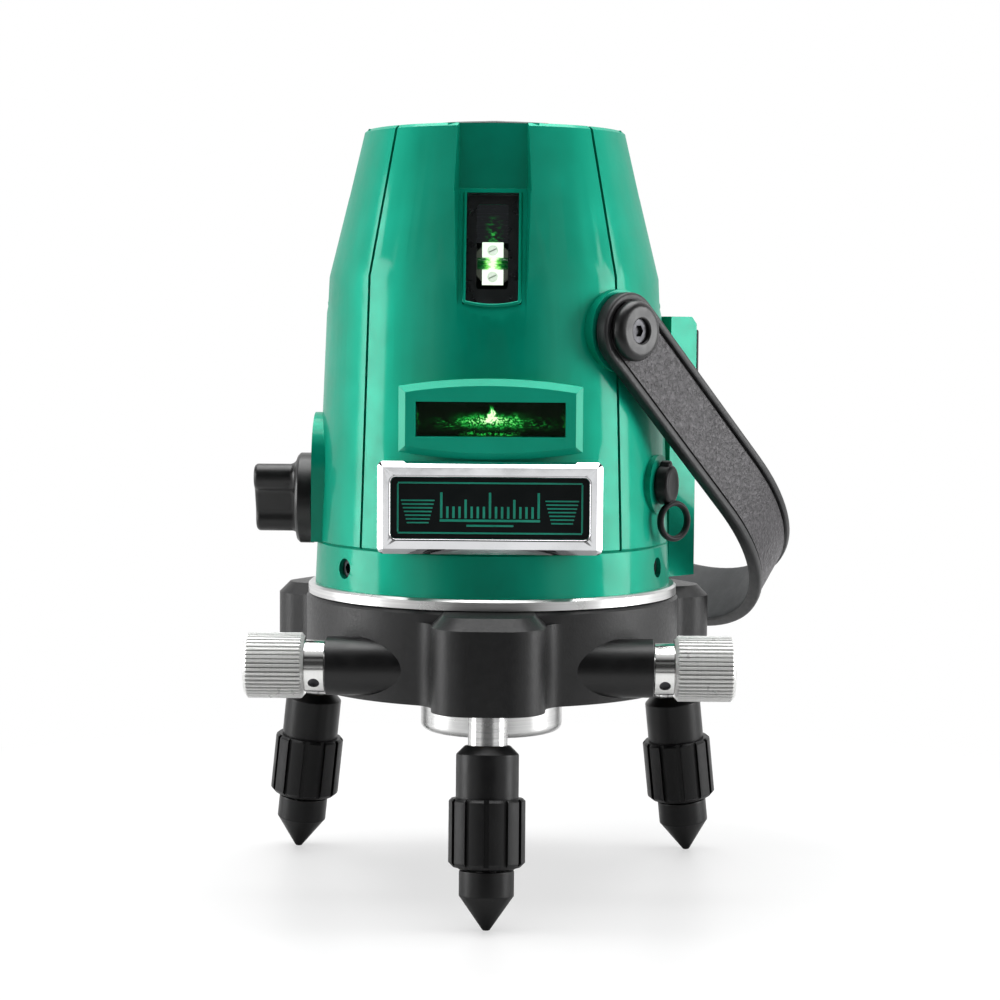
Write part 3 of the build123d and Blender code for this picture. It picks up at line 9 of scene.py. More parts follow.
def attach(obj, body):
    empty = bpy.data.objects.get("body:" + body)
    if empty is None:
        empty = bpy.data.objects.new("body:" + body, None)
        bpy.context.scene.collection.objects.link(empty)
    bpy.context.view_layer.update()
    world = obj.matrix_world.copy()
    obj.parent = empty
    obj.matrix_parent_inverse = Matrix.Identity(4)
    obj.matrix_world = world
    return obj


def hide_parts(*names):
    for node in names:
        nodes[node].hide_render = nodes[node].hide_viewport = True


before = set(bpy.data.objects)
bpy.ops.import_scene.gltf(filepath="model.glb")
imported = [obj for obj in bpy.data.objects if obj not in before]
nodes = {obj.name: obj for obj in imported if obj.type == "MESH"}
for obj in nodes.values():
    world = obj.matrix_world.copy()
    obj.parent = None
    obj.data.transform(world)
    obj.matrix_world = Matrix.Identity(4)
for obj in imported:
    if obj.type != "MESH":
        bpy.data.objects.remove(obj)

MM = 0.001
UP = Vector((0, 0, 1))
NOISE_LOW, NOISE_HIGH = 0.3, 0.7    # span that a noise mostly stays in
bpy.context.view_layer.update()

# Sizes of the frame that the pieces below fit, in mm
floor_z = -40.5
pivot_z = 109.9
pivot_azimuth = 45.0
handle_lean = 48.0
strap_in = 47.6
strap_t = 3.6
strap_w = 20.0
strap_arm = 62.0
strap_reach = 117.2
strap_hole_r = 3.8
plug_azimuth = 68.0
plug_z = 69.0
plug_low = 48.7
plug_r = 5.3
plug_t = 3.5
plug_stem_r = 3.0
plug_stem_len = 5.0
plug_tab_w = 3.2
plug_tab_up = 6.8
loop_r = 5.5
loop_hole_r = 4.0
loop_t = 2.0
loop_turn = 30.0
loop_out = 2.0
loop_gap = 0.3
loop_z = plug_z - plug_r - loop_hole_r - loop_gap
pane_foot_r = 45.15
pane_low = 114.9
pane_lean = 20.0
pane_foot_up = 1.6
pane_w = 15.2
pane_h = 30.83
pane_t = 1.4
horizon_z = 87.2
opening_w = 38.2
opening_h = 8.9
horizon_pane_back = 44.9
knob_collar_end = 48.0
badge_z = 64.6
badge_face = 49.4
plate_w = 50.4
plate_h = 15.4
box_azimuth = 135.0
latch_face = 55.4
latch_low, latch_high = 96.4, 110.4
latch_half = 26.2
panel_top = 164.9
key_centres = ((0.0, -11.0), (-11.0, 4.0), (11.0, 4.0))
shell_azimuths = {"front": 0, "right": 90, "back": 180, "left": 270}

# Camera, fitted to the photograph
camera_azimuth = 0.85
camera_yaw = -0.17
camera_distance = 658.8
camera_height = 110.0
camera_pitch = 4.06
camera_roll = 0.42
camera_lens = 86.4
camera_sensor = 36.0


def srgb(red, green, blue):
    """Linear colour of an 8-bit sRGB one."""
    levels = [level / 255 for level in (red, green, blue)]
    return tuple(v / 12.92 if v <= 0.04045 else ((v + 0.055) / 1.055) ** 2.4 for v in levels) + (1.0,)


def out_dir(azimuth):
    """Direction out of the axis at an azimuth counted from the front toward the right."""
    return Vector((sin(radians(azimuth)), -cos(radians(azimuth)), 0))


def right_dir(azimuth):
    """Direction to the right on a face that looks out at an azimuth."""
    return Vector((cos(radians(azimuth)), sin(radians(azimuth)), 0))


def facing(azimuth, r, z, lean=0.0):
    """Places local mm on a face that looks outward: x runs right, y up and z out of it."""
    out = out_dir(azimuth) * cos(radians(lean)) + UP * sin(radians(lean))
    right = right_dir(azimuth)
    place = Matrix((right, out.cross(right), out)).transposed().to_4x4()
    place.translation = (out_dir(azimuth) * r + UP * z) * MM
    return place @ Matrix.Scale(MM, 4)


# Materials
class Nodes:
    """A shader tree, with short calls for the kinds of node used here."""

    def __init__(self, tree, coords):
        self.tree = tree
        self.coords = self.add("TexCoord").outputs[coords]

    def add(self, kind, sockets=None, **settings):
        node = self.tree.nodes.new("ShaderNode" + kind)
        for key, value in settings.items():
            setattr(node, key, value)
        for key, value in (sockets or {}).items():
            self.fill(node.inputs[key], value)
        return node

    def fill(self, socket, value):
        if isinstance(value, bpy.types.NodeSocket):
            self.tree.links.new(value, socket)
        else:
            socket.default_value = value

    def noise(self, scale, detail=3.0, stretch=(1, 1, 1), distortion=0.0):
        where = self.add("Mapping", {"Vector": self.coords, "Scale": stretch}).outputs["Vector"]
        sockets = {"Vector": where, "Scale": scale, "Detail": detail, "Distortion": distortion}
        return self.add("TexNoise", sockets).outputs["Fac"]

    def between(self, factor, low, high, low_value, high_value):
        """Runs from low_value to high_value while the factor runs from low to high."""
        sockets = {"Value": factor, "From Min": low, "From Max": high}
        sockets |= {"To Min": low_value, "To Max": high_value}
        return self.add("MapRange", sockets).outputs["Result"]

    def rise(self, factor, low, high):
        return self.between(factor, low, high, 0.0, 1.0)

    def fall(self, factor, low, high):
        return self.between(factor, low, high, 1.0, 0.0)

    def lerp(self, share, none, full):
        """One value where the share is 0 and the other where it is 1."""
        return self.between(share, 0.0, 1.0, none, full)

    def spread(self, noise, low_value, high_value):
        """Stretches a noise over a range of values."""
        return self.between(noise, NOISE_LOW, NOISE_HIGH, low_value, high_value)

    def ramp(self, factor, *stops):
        node = self.add("ValToRGB", {"Fac": factor})
        elements = node.color_ramp.elements
        while len(elements) < len(stops):
            elements.new(0.5)
        for element, (position, colour) in zip(elements, stops):
            element.position = position
            element.color = colour
        return node.outputs["Color"]

    def blend(self, noise, dark, pale):
        """Colour that wanders between two with a noise."""
        return self.ramp(noise, (NOISE_LOW, dark), (NOISE_HIGH, pale))

    def math(self, operation, first, second=0.0, third=0.0):
        node = self.add("Math", operation=operation)
        for socket, value in zip(node.inputs, (first, second, third)):
            self.fill(socket, value)
        return node.outputs["Value"]

    def product(self, first, *others):
        for other in others:
            first = self.math("MULTIPLY", first, other)
        return first

    def largest(self, first, *others):
        for other in others:
            first = self.math("MAXIMUM", first, other)
        return first

    def size(self, value):
        return self.math("ABSOLUTE", value)

    def bump(self, height, depth):
        return self.add("Bump", {"Height": height, "Distance": depth}).outputs["Normal"]

    def axes(self):
        return self.add("SeparateXYZ", {"Vector": self.coords}).outputs

    def openness(self, reach):
        """How open the surface is within a reach: less in corners and grooves, where the looks below use
        it to paint shade.
        """
        return self.add("AmbientOcclusion", {"Distance": reach}).outputs["AO"]

    def seen(self, share):
        """1 to the camera, and a share from 0 to 1 to the rays that metal and glass send on."""
        path = self.add("LightPath").outputs
        sent_on = self.largest(path["Is Glossy Ray"], path["Is Transmission Ray"])
        return self.largest(path["Is Camera Ray"], self.product(sent_on, share))


class Look(Nodes):
    """A material with one main shader."""

    def __init__(self, name):
        self.material = bpy.data.materials.new(name)
        self.material.use_nodes = True
        super().__init__(self.material.node_tree, "Object")
        self.shader = self.tree.nodes["Principled BSDF"]

    def set(self, **sockets):
        """Sets the shader's own sockets; an underscore stands for a space."""
        for key, value in sockets.items():
            self.fill(self.shader.inputs[key.replace("_", " ")], value)

    def mix(self, factor, other):
        """Mixes another shader over the main one."""
        node = self.add("MixShader", {"Fac": factor})
        self.tree.links.new(self.shader.outputs["BSDF"], node.inputs[1])
        self.tree.links.new(other, node.inputs[2])
        self.tree.links.new(node.outputs["Shader"], self.tree.nodes["Material Output"].inputs["Surface"])


def moulded(name, dark, pale, rough, grain, depth, patch=60, **constants):
    """Painted or moulded surface: patches of colour, uneven gloss and a fine grain."""
    look = Look(name)
    look.set(Base_Color=look.ramp(look.noise(patch), (0.35, dark), (0.65, pale)))
    look.set(Roughness=look.spread(look.noise(4 * patch), *rough))
    look.set(Normal=look.bump(look.noise(grain), depth), **constants)
    return look.material


def lined_metal(name, dark, pale, rough, stretch, depth):
    """Bare metal with fine tool lines along the directions that stretch leaves long."""
    look = Look(name)
    lines = look.noise(1.0, 4.0, stretch)
    look.set(Base_Color=look.blend(lines, dark, pale), Metallic=1.0)
    look.set(Roughness=look.spread(look.noise(150), *rough))
    look.set(Normal=look.bump(lines, depth))
    return look.material


def knurled():
    """Fine knob: bright knurls with painted shade darkening the grooves between them, and a polished
    collar.
    """
    look = Look("turned_knob")
    collar_edge = 0.1 * MM
    groove_reach = 0.7 * MM
    lines = look.noise(1.0, 4.0, (2400, 60, 60))
    collar_end = knob_collar_end * MM
    outside = look.rise(look.size(look.axes()[0]), collar_end, collar_end + collar_edge)
    # Painted shade: the colour darkens where the surface is closed in, in the grooves between the
    # knurls.
    clean = look.between(look.openness(groove_reach), 0.45, 0.8, 0.0, 0.8)
    tone = look.math("MULTIPLY_ADD", lines, 0.3, clean)
    look.set(Base_Color=look.ramp(tone, (0.15, srgb(145, 145, 144)), (0.85, srgb(246, 246, 244)),
                                  (1.0, srgb(252, 252, 250))))
    knurl_rough = look.spread(look.noise(150), 0.26, 0.36)
    look.set(Metallic=look.lerp(outside, 0.95, 0.3), Roughness=look.lerp(outside, 0.12, knurl_rough))
    look.set(Normal=look.bump(lines, 1e-6))
    return look.material


def leather():
    """Pebbled leather of the strap's middle field."""
    look = Look("strap_grain")
    sockets = {"Vector": look.coords, "Scale": 1000.0, "Randomness": 1.0, "Smoothness": 0.5}
    cells = look.add("TexVoronoi", sockets, feature="SMOOTH_F1").outputs["Distance"]
    ripple = look.noise(850, 3.0, distortion=0.8)
    height = look.math("MULTIPLY_ADD", ripple, 0.8, look.product(cells, 0.5))
    look.set(Base_Color=look.ramp(ripple, (0.35, srgb(42, 40, 43)), (0.7, srgb(78, 74, 79))))
    look.set(Roughness=look.spread(ripple, 0.5, 0.36), Normal=look.bump(height, 3.2e-4))
    return look.material


def window_glass(name, tint):
    """Coated clear pane with faint smears, which lets lamps through."""
    look = Look(name)
    smear = look.noise(90, 2.0)
    smeared_tint = tuple(0.9 * v for v in tint[:3]) + (1.0,)
    look.set(Base_Color=look.blend(smear, tint, smeared_tint), Roughness=look.spread(smear, 0.01, 0.05))
    look.set(Transmission_Weight=1.0, IOR=1.18)
    shade = look.add("BsdfTransparent", {"Color": tint}).outputs["BSDF"]
    look.mix(look.add("LightPath").outputs["Is Shadow Ray"], shade)
    return look.material


def beside_beam(look):
    """Distance sideways from the nearest of the four beams, which leave along the x and y axes."""
    x, y, _ = look.axes()
    return look.math("MINIMUM", look.size(x), look.size(y))


def rod_glass():
    """Lens rods lit by the beams: hottest at the middle of each rod."""
    look = Look("rod_glow")
    rod_reach = 4.0 * MM
    apart = look.between(beside_beam(look), 0.0, rod_reach, -0.15, 0.75)
    glints = look.math("MULTIPLY_ADD", look.noise(1.0, 2.0, (900, 900, 2600)), 0.7, apart)
    glow = look.ramp(glints, (0.3, (1.0, 1.0, 0.8, 1)), (0.5, (0.15, 0.75, 0.08, 1)),
                     (0.7, (0.0, 0.12, 0.015, 1)), (0.95, (0.0, 0.02, 0.004, 1)))
    look.set(Base_Color=look.ramp(glints, (0.2, srgb(160, 230, 150)), (0.8, srgb(20, 70, 30))))
    look.set(Roughness=look.spread(look.noise(800), 0.05, 0.15))
    look.set(Emission_Color=glow, Emission_Strength=1.3)
    return look.material


def painted_glow_clamp(name, strength):
    """Pale clamp blocks and their screws, with a painted glow for the light on them that dims in the
    corners as painted shade.
    """
    look = Look(name)
    corner_reach = 0.5 * MM
    stain = look.noise(500)
    look.set(Base_Color=look.blend(stain, srgb(215, 222, 212), srgb(235, 240, 232)))
    look.set(Roughness=look.spread(stain, 0.25, 0.4), Normal=look.bump(look.noise(3000), 1e-5))
    # Painted light: the blocks glow, and the glow drops where the surface is closed in, painting shade
    # into the corners and screw slots.
    look.set(Emission_Color=look.blend(stain, (0.8, 0.93, 0.76, 1), (0.92, 1.0, 0.88, 1)))
    look.set(Emission_Strength=look.between(look.openness(corner_reach), 0.45, 0.95, 0.05, strength))
    return look.material


def beam_scatter():
    """Green light scattered inside the level-line window: a spark, a grainy band and side glints."""
    look = Look("beam_scatter")
    x, _, z = look.axes()
    sway = look.math("MULTIPLY_ADD", look.noise(420, 3.0), 0.5, -0.25)
    across = look.math("DIVIDE", x, opening_w / 2 * MM)
    across = look.size(look.math("ADD", across, look.product(sway, 0.35)))
    up = look.math("DIVIDE", look.math("SUBTRACT", z, horizon_z * MM), opening_h / 2 * MM)
    up = look.math("ADD", up, sway)
    grain = look.rise(look.noise(2400, 2.0), 0.46, 0.56)
    strokes = look.rise(look.noise(1.0, 3.0, (900, 900, 2600), 0.8), 0.52, 0.66)

    def spot(value, centre, core, edge):
        """1 within core of the centre, falling to 0 at edge."""
        return look.fall(look.size(look.math("SUBTRACT", value, centre)), core, edge)

    def patch(across_spot, up_spot, *factors):
        """Light on part of the opening; both spots are in halves of its width or height."""
        return look.product(spot(across, *across_spot), spot(up, *up_spot), *factors)

    light = patch((0.0, 0.0, 0.6), (-0.15, 0.0, 0.6), 0.36)
    band = patch((0.0, 0.24, 0.5), (-0.16, 0.16, 0.5), grain)
    wings = patch((0.5, 0.16, 0.45), (-0.3, 0.1, 0.45), strokes)
    sill = patch((0.0, 0.25, 0.45), (-0.9, 0.04, 0.16), grain)
    ends = patch((0.985, 0.005, 0.04), (-0.1, 0.2, 0.7), strokes)
    for part, strength in ((band, 0.6), (wings, 0.5), (sill, 0.6), (ends, 0.7)):
        light = look.math("MULTIPLY_ADD", part, strength, light)
    spark = patch((0.015, 0.004, 0.03), (0.2, 0.2, 0.6))
    flare = patch((0.03, 0.01, 0.045), (-0.05, 0.05, 0.2), 0.9)
    light = look.math("ADD", light, look.largest(spark, flare))
    glow = look.ramp(light, (0.0, (0.0, 0.002, 0.0, 1)), (0.25, (0.001, 0.07, 0.008, 1)),
                     (0.6, (0.02, 0.5, 0.06, 1)), (0.8, (0.2, 0.9, 0.2, 1)), (1.0, (1.0, 1.0, 0.75, 1)))
    look.set(Base_Color=look.blend(grain, srgb(2, 4, 3), srgb(5, 9, 6)))
    look.set(Roughness=look.lerp(grain, 0.3, 0.5), Specular_IOR_Level=0.1)
    look.set(Emission_Color=glow, Emission_Strength=1.3)
    return look.material


def dark_can_look():
    """Dark can with a faint painted glow for stray light, and a few painted green glints where the beams
    pass.
    """
    look = Look("dark_can_painted_light")
    beam_core, beam_edge = 0.6 * MM, 2.6 * MM
    glints_full, glints_end = 138.5 * MM, 140.5 * MM
    near = look.fall(beside_beam(look), beam_core, beam_edge)
    below = look.fall(look.axes()[2], glints_full, glints_end)
    flecks = look.rise(look.noise(1.0, 3.0, (700, 700, 1100), 0.5), 0.5, 0.68)
    glow = look.ramp(look.product(near, below, flecks), (0.0, (0.017, 0.018, 0.02, 1)),
                     (0.5, (0.012, 0.13, 0.03, 1)), (1.0, (0.05, 0.5, 0.08, 1)))
    look.set(Base_Color=look.blend(look.noise(600), srgb(7, 7, 7), srgb(12, 12, 12)))
    look.set(Roughness=look.spread(look.noise(300), 0.4, 0.6))
    look.set(Emission_Color=glow, Emission_Strength=1.0)
    return look.material


# Moulded looks give two colours, roughness, grain scale and grain depth; metals give their line stretch
looks = {
    "green": moulded("green_paint", srgb(0, 150, 121), srgb(2, 160, 131), (0.45, 0.55), 1800, 8e-6,
                     Specular_IOR_Level=0.06, Coat_Weight=0.3, Coat_Roughness=0.1, Metallic=0.5),
    # The bezel's green is the body's paint made lighter: painted light for the brighter look of the
    # bezel.
    "bezel": moulded("bezel_green_painted_lighter", srgb(4, 182, 148), srgb(8, 192, 158), (0.5, 0.6), 1800, 8e-6,
                     Specular_IOR_Level=0.12, Coat_Weight=0.25, Coat_Roughness=0.15, Metallic=0.2),
    "base": moulded("cast_paint", srgb(20, 20, 21), srgb(27, 27, 28), (0.36, 0.48), 1500, 3.5e-5,
                    patch=300, Specular_IOR_Level=0.4),
    "black": moulded("black_plastic", srgb(12, 12, 13), srgb(17, 17, 18), (0.28, 0.4), 2200, 8e-6),
    "leg_black": moulded("leg_plastic", srgb(13, 13, 14), srgb(19, 19, 20), (0.3, 0.42), 2000, 1e-5,
                         Specular_IOR_Level=0.3),
    "rubber": moulded("grip_rubber", srgb(13, 13, 14), srgb(19, 19, 20), (0.36, 0.48), 2600, 1.5e-5,
                      Specular_IOR_Level=0.3),
    "strap_edge": moulded("strap_edge", srgb(30, 30, 32), srgb(40, 40, 42), (0.4, 0.5), 3000, 1.5e-5,
                          patch=200),
    "strap_back": moulded("strap_back", srgb(40, 40, 42), srgb(52, 52, 54), (0.5, 0.6), 1600, 3e-5,
                          patch=200),
    "strap_grain": leather(),
    "plate": moulded("badge_face", srgb(6, 14, 15), srgb(10, 20, 21), (0.12, 0.18), 3000, 3e-6,
                     Specular_IOR_Level=0.12),
    "print": moulded("badge_print", srgb(18, 160, 132), srgb(30, 178, 148), (0.3, 0.4), 3000, 3e-6),
    "key_print": moulded("key_print", srgb(150, 152, 152), srgb(168, 170, 170), (0.4, 0.5), 3000, 3e-6),
    "mask": moulded("window_print", srgb(16, 18, 20), srgb(24, 26, 28), (0.25, 0.35), 2500, 4e-6),
    "button": moulded("key_rubber", srgb(70, 72, 74), srgb(86, 88, 90), (0.45, 0.55), 2200, 1.2e-5),
    "board": moulded("board_resist", srgb(10, 60, 34), srgb(16, 82, 46), (0.3, 0.4), 900, 2e-5,
                     patch=300),
    "cell": moulded("cell_wrap", srgb(176, 150, 40), srgb(196, 170, 58), (0.3, 0.4), 1500, 5e-6),
    "led": moulded("red_lens", srgb(190, 8, 14), srgb(225, 20, 24), (0.1, 0.2), 2500, 3e-6,
                   Emission_Color=(0.8, 0.01, 0.02, 1), Emission_Strength=0.35),
    # The barrels' dark moulding glows faintly: painted stray light.
    "barrel": moulded("barrel_dark_painted_glow", srgb(56, 56, 50), srgb(70, 70, 63), (0.4, 0.5), 1500, 5e-6,
                      Emission_Color=(0.038, 0.04, 0.034, 1), Emission_Strength=1.0),
    "dark_steel": lined_metal("black_screw", srgb(58, 58, 60), srgb(84, 84, 87), (0.3, 0.42),
                              (600, 600, 600), 4e-6),
    "chrome": lined_metal("chrome", srgb(214, 215, 217), srgb(228, 229, 231), (0.03, 0.08),
                          (60, 60, 60), 3e-5),
    "ring": lined_metal("turned_ring", srgb(205, 205, 205), srgb(224, 224, 223), (0.26, 0.34),
                        (15, 15, 3500), 1e-6),
    "shaft": lined_metal("turned_shaft", srgb(190, 190, 190), srgb(220, 220, 219), (0.2, 0.3),
                         (60, 60, 2600), 6e-6),
    "inner": lined_metal("inner_alloy", srgb(40, 42, 42), srgb(60, 62, 62), (0.35, 0.5),
                         (500, 500, 500), 6e-6),
    "brass": lined_metal("brass", srgb(186, 148, 72), srgb(206, 170, 92), (0.25, 0.35),
                         (500, 500, 1500), 6e-6),
    "knob": knurled(),
    "glass": window_glass("window_glass", (0.8, 0.84, 0.82, 1)),
    "rod": rod_glass(),
    "clamp": painted_glow_clamp("clamp_painted_glow", 1.5),
    "clamp_screw": painted_glow_clamp("clamp_screw", 1.0),
    "scatter": beam_scatter(),
    "trap": dark_can_look(),
}

# Rounded edges and materials of the CAD nodes
merge_distance = 1e-6
flat_angle = radians(0.5)       # faces that bend less are joined before the edges are rounded
edge_angle = radians(32)        # edges that bend more are rounded; any left after that stay sharp
piece_edge_angle = radians(38)  # edges of the added pieces that bend more stay sharp


def mesh_group(name, build):
    """Geometry node group with one mesh in and one out."""
    group = bpy.data.node_groups.new(name, "GeometryNodeTree")
    group.interface.new_socket("Geometry", in_out="INPUT", socket_type="NodeSocketGeometry")
    group.interface.new_socket("Geometry", in_out="OUTPUT", socket_type="NodeSocketGeometry")
    start = group.nodes.new("NodeGroupInput")
    end = group.nodes.new("NodeGroupOutput")
    group.links.new(build(group, start.outputs[0]), end.inputs[0])
    return group


def clean_faces(group, mesh):
    """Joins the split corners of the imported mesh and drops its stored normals."""
    merge = group.nodes.new("GeometryNodeMergeByDistance")
    merge.inputs["Distance"].default_value = merge_distance
    drop = group.nodes.new("GeometryNodeRemoveAttribute")
    drop.inputs["Name"].default_value = "custom_normal"
    smooth = group.nodes.new("GeometryNodeSetShadeSmooth")
    group.links.new(mesh, merge.inputs["Geometry"])
    group.links.new(merge.outputs["Geometry"], drop.inputs["Geometry"])
    group.links.new(drop.outputs["Geometry"], smooth.inputs[0])
    return smooth.outputs[0]


def sharp_edges(group, mesh):
    """Keeps edges sharp where faces meet at more than the edge angle."""
    angle = group.nodes.new("GeometryNodeInputMeshEdgeAngle")
    steep = group.nodes.new("FunctionNodeCompare")
    steep.inputs["B"].default_value = edge_angle
    smooth = group.nodes.new("GeometryNodeSetShadeSmooth")
    smooth.domain = "EDGE"
    smooth.inputs["Shade Smooth"].default_value = False
    group.links.new(angle.outputs["Unsigned Angle"], steep.inputs["A"])
    group.links.new(steep.outputs["Result"], smooth.inputs["Selection"])
    group.links.new(mesh, smooth.inputs[0])
    return smooth.outputs[0]


clean_group = mesh_group("clean_faces", clean_faces)
sharp_group = mesh_group("sharp_edges", sharp_edges)


def dress(name, look, edge=0.0, segments=2, flat_first=True):
    """Gives a CAD node its material and, by modifiers, edges rounded by edge mm."""
    node = nodes[name]
    node.data.materials.clear()
    node.data.materials.append(looks[look])
    node.modifiers.new("clean", "NODES").node_group = clean_group
    if edge and flat_first:
        flat = node.modifiers.new("flat", "DECIMATE")
        flat.decimate_type = "DISSOLVE"
        flat.angle_limit = flat_angle
    if edge:
        bevel = node.modifiers.new("bevel", "BEVEL")
        bevel.width = edge * MM
        bevel.segments = segments
        bevel.limit_method = "ANGLE"
        bevel.angle_limit = edge_angle
        bevel.use_clamp_overlap = True
    node.modifiers.new("sharp", "NODES").node_group = sharp_group
    even = node.modifiers.new("even", "WEIGHTED_NORMAL")
    even.keep_sharp = True


for side in shell_azimuths:
    dress(f"{side}_shell", "green", 0.3)
for name in ("lower_band", "top_cap", "battery_box", "battery_door"):
    dress(name, "green", 0.3)
dress("window_bezel", "bezel", 0.7, 4)
dress("handle_pads", "green", 0.4)
dress("base_housing", "base", 0.5)
for name in ("worm_bushes", "lock_knob", "handle_caps", "battery_latch", "keypad_panel"):
    dress(name, "black", 0.3)
for number in (1, 2, 3):
    dress(f"leg_foot_{number}", "leg_black", 0.25)
    dress(f"leg_sleeve_{number}", "leg_black", 0.25)
    dress(f"leg_grip_{number}", "rubber", 0.2)
    dress(f"leg_screw_{number}", "shaft")
    dress(f"button_{number}", "button")
for name in ("fine_knob_left", "fine_knob_right"):
    dress(name, "knob", 0.08, 1)
dress("badge_frame", "chrome", 0.15, 2, False)
dress("badge_plate", "plate")
for name in ("turntable", "tripod_socket"):
    dress(name, "ring", 0.2)
for name in ("band_screws", "handle_screws", "knob_set_screws"):
    dress(name, "dark_steel", 0.08)
for name in ("worm_shaft", "lock_shaft", "lock_plate", "spindle_nut"):
    dress(name, "shaft")
for name in ("leg_nuts", "worm_wheel"):
    dress(name, "brass")
for name in ("chassis", "gimbal_ring", "pendulum_body"):
    dress(name, "inner")
for name in ("vertical_windows", "horizontal_window"):
    dress(name, "glass")
dress("laser_barrels", "barrel")
dress("lens_clamps", "clamp")
dress("clamp_screws", "clamp_screw")
dress("rod_lenses", "rod")
dress("circuit_board", "board")
dress("battery_cells", "cell")
dress("indicator_led", "led")


# Helpers for the added pieces
def loft(bm, loops, closed=False, capped=True, materials=None):
    """Faces between rings of points that have equal counts, and caps at both ends."""
    rings = [[bm.verts.new(point) for point in loop] for loop in loops]
    next_rings = rings[1:] + (rings[:1] if closed else [])
    for strip, (first, second) in enumerate(zip(rings, next_rings)):
        for i in range(len(first)):
            j = (i + 1) % len(first)
            face = bm.faces.new((first[i], first[j], second[j], second[i]))
            if materials:
                face.material_index = materials[strip]
    if capped and not closed:
        bm.faces.new(rings[0][::-1])
        bm.faces.new(rings[-1])
    return rings


def finished_mesh(name, bm):
    """Mesh of a bmesh whose faces all look outward."""
    bmesh.ops.recalc_face_normals(bm, faces=bm.faces)
    mesh = bpy.data.meshes.new(name)
    bm.to_mesh(mesh)
    bm.free()
    return mesh


def in_scene(name, data):
    """New object in the scene."""
    thing = bpy.data.objects.new(name, data)
    bpy.context.scene.collection.objects.link(thing)
    return thing


def piece(name, bm, body, slot, *materials):
    """Turns a mesh into a piece that rides on a body."""
    mesh = finished_mesh(name, bm)
    for material in materials:
        mesh.materials.append(looks[material])
    mesh.shade_smooth()
    mesh.set_sharp_from_angle(angle=piece_edge_angle)
    thing = in_scene(name, mesh)
    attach(thing, body)
    return thing


def turns(count):
    """Angles of a full turn in equal steps."""
    return [2 * pi * i / count for i in range(count)]


def circle(radius, steps=48):
    return [(radius * cos(a), radius * sin(a)) for a in turns(steps)]


def rounded_rect(width, height, radius, steps=6):
    """Points round a rectangle with round corners, anticlockwise from its right side."""
    points = []
    for turn, (sx, sy) in enumerate(((1, 1), (-1, 1), (-1, -1), (1, -1))):
        for step in range(steps + 1):
            angle = pi / 2 * (turn + step / steps)
            points.append((sx * (width / 2 - radius) + radius * cos(angle),
                           sy * (height / 2 - radius) + radius * sin(angle)))
    return points


def quarter_round(radius, steps):
    """Inset and drop of each point of a rounded edge, from the side round to the top."""
    angles = [pi / 2 * i / steps for i in range(steps + 1)]
    return [(radius * (1 - cos(a)), radius * (1 - sin(a))) for a in angles]


def raised(place, points, z):
    """Flat points at a height above a place."""
    return [place @ Vector((x, y, z)) for x, y in points]


def round_pad(bm, place, width, height, corner, rows, steps):
    """Raised pad with round corners; each row is an inset from its outline and a height."""
    loops = []
    for inset, z in rows:
        outline = rounded_rect(width - 2 * inset, height - 2 * inset, corner - inset, steps)
        loops.append(raised(place, outline, z))
    loft(bm, loops)


# Strap
swing_dir = out_dir(pivot_azimuth + 90)
strap_along = swing_dir * sin(radians(handle_lean)) - UP * cos(radians(handle_lean))
strap_across = swing_dir * cos(radians(handle_lean)) + UP * sin(radians(handle_lean))
strap_axis = out_dir(pivot_azimuth)
strap_border = 2.1          # width of the raised edge
strap_groove = 0.6          # width of the groove beside the edge
strap_groove_deep = 0.4     # how far the groove lies below the middle field
strap_field = 0.6           # how far the middle field lies below the edge
strap_edge_round = 0.7
strap_slope = 0.1           # how far the groove's walls lean
strap_soft = 0.15           # size of the softened corners
strap_edge_soft = 0.25      # width of the raised edge's inner corner
strap_insets = (9.0, 6.5, 4.5)      # rows of points across the faces
strap_back_inset = 2.5
strap_arm_steps, strap_bend_steps, strap_end_steps = 14, 60, 16
strap_round_steps, strap_hole_steps = 4, 40
strap_cutter_margin = 2.0
FIELD, EDGE, BACK, GROOVE = range(4)    # the strap's materials, in the order of their slots


def strap_point(u_in, v_in, u_out, v_out, depth, w):
    """A point of the strap, at depth between its inner and outer faces and w across it."""
    share = depth / strap_t
    u = u_in + (u_out - u_in) * share
    v = v_in + (v_out - v_in) * share
    return (strap_axis * u + strap_along * v + strap_across * w + UP * pivot_z) * MM


def strap_stations():
    """Inner and outer points along the strap's loop, from pivot to pivot."""
    straight = [strap_arm * i / strap_arm_steps for i in range(strap_arm_steps + 1)]
    arm = [(strap_in, v, strap_in + strap_t, v) for v in straight]
    bend = []
    for i in range(1, strap_bend_steps):
        turn = pi * i / strap_bend_steps
        c, s = cos(turn), sin(turn)
        bend.append((strap_in * c, strap_arm + (strap_reach - strap_arm) * s,
                     (strap_in + strap_t) * c, strap_arm + (strap_reach + strap_t - strap_arm) * s))
    return arm + bend + [(-u, v, -u_out, v_out) for u, v, u_out, v_out in reversed(arm)]


def strap_ring(stations, inset, depth):
    """Ring of points at one inset from the strap's outline, with round ends about the pivots."""
    half = strap_w / 2 - inset
    ring = [strap_point(*station, depth, half) for station in stations]
    for sign in (-1, 1):
        u = sign * strap_in
        u_out = sign * (strap_in + strap_t)
        for i in range(1, strap_end_steps):
            angle = pi * i / strap_end_steps
            v = -half * sin(angle)
            w = -sign * half * cos(angle)
            ring.append(strap_point(u, v, u_out, v, depth, w))
        if sign < 0:
            ring += [strap_point(*station, depth, -half) for station in reversed(stations)]
    return ring


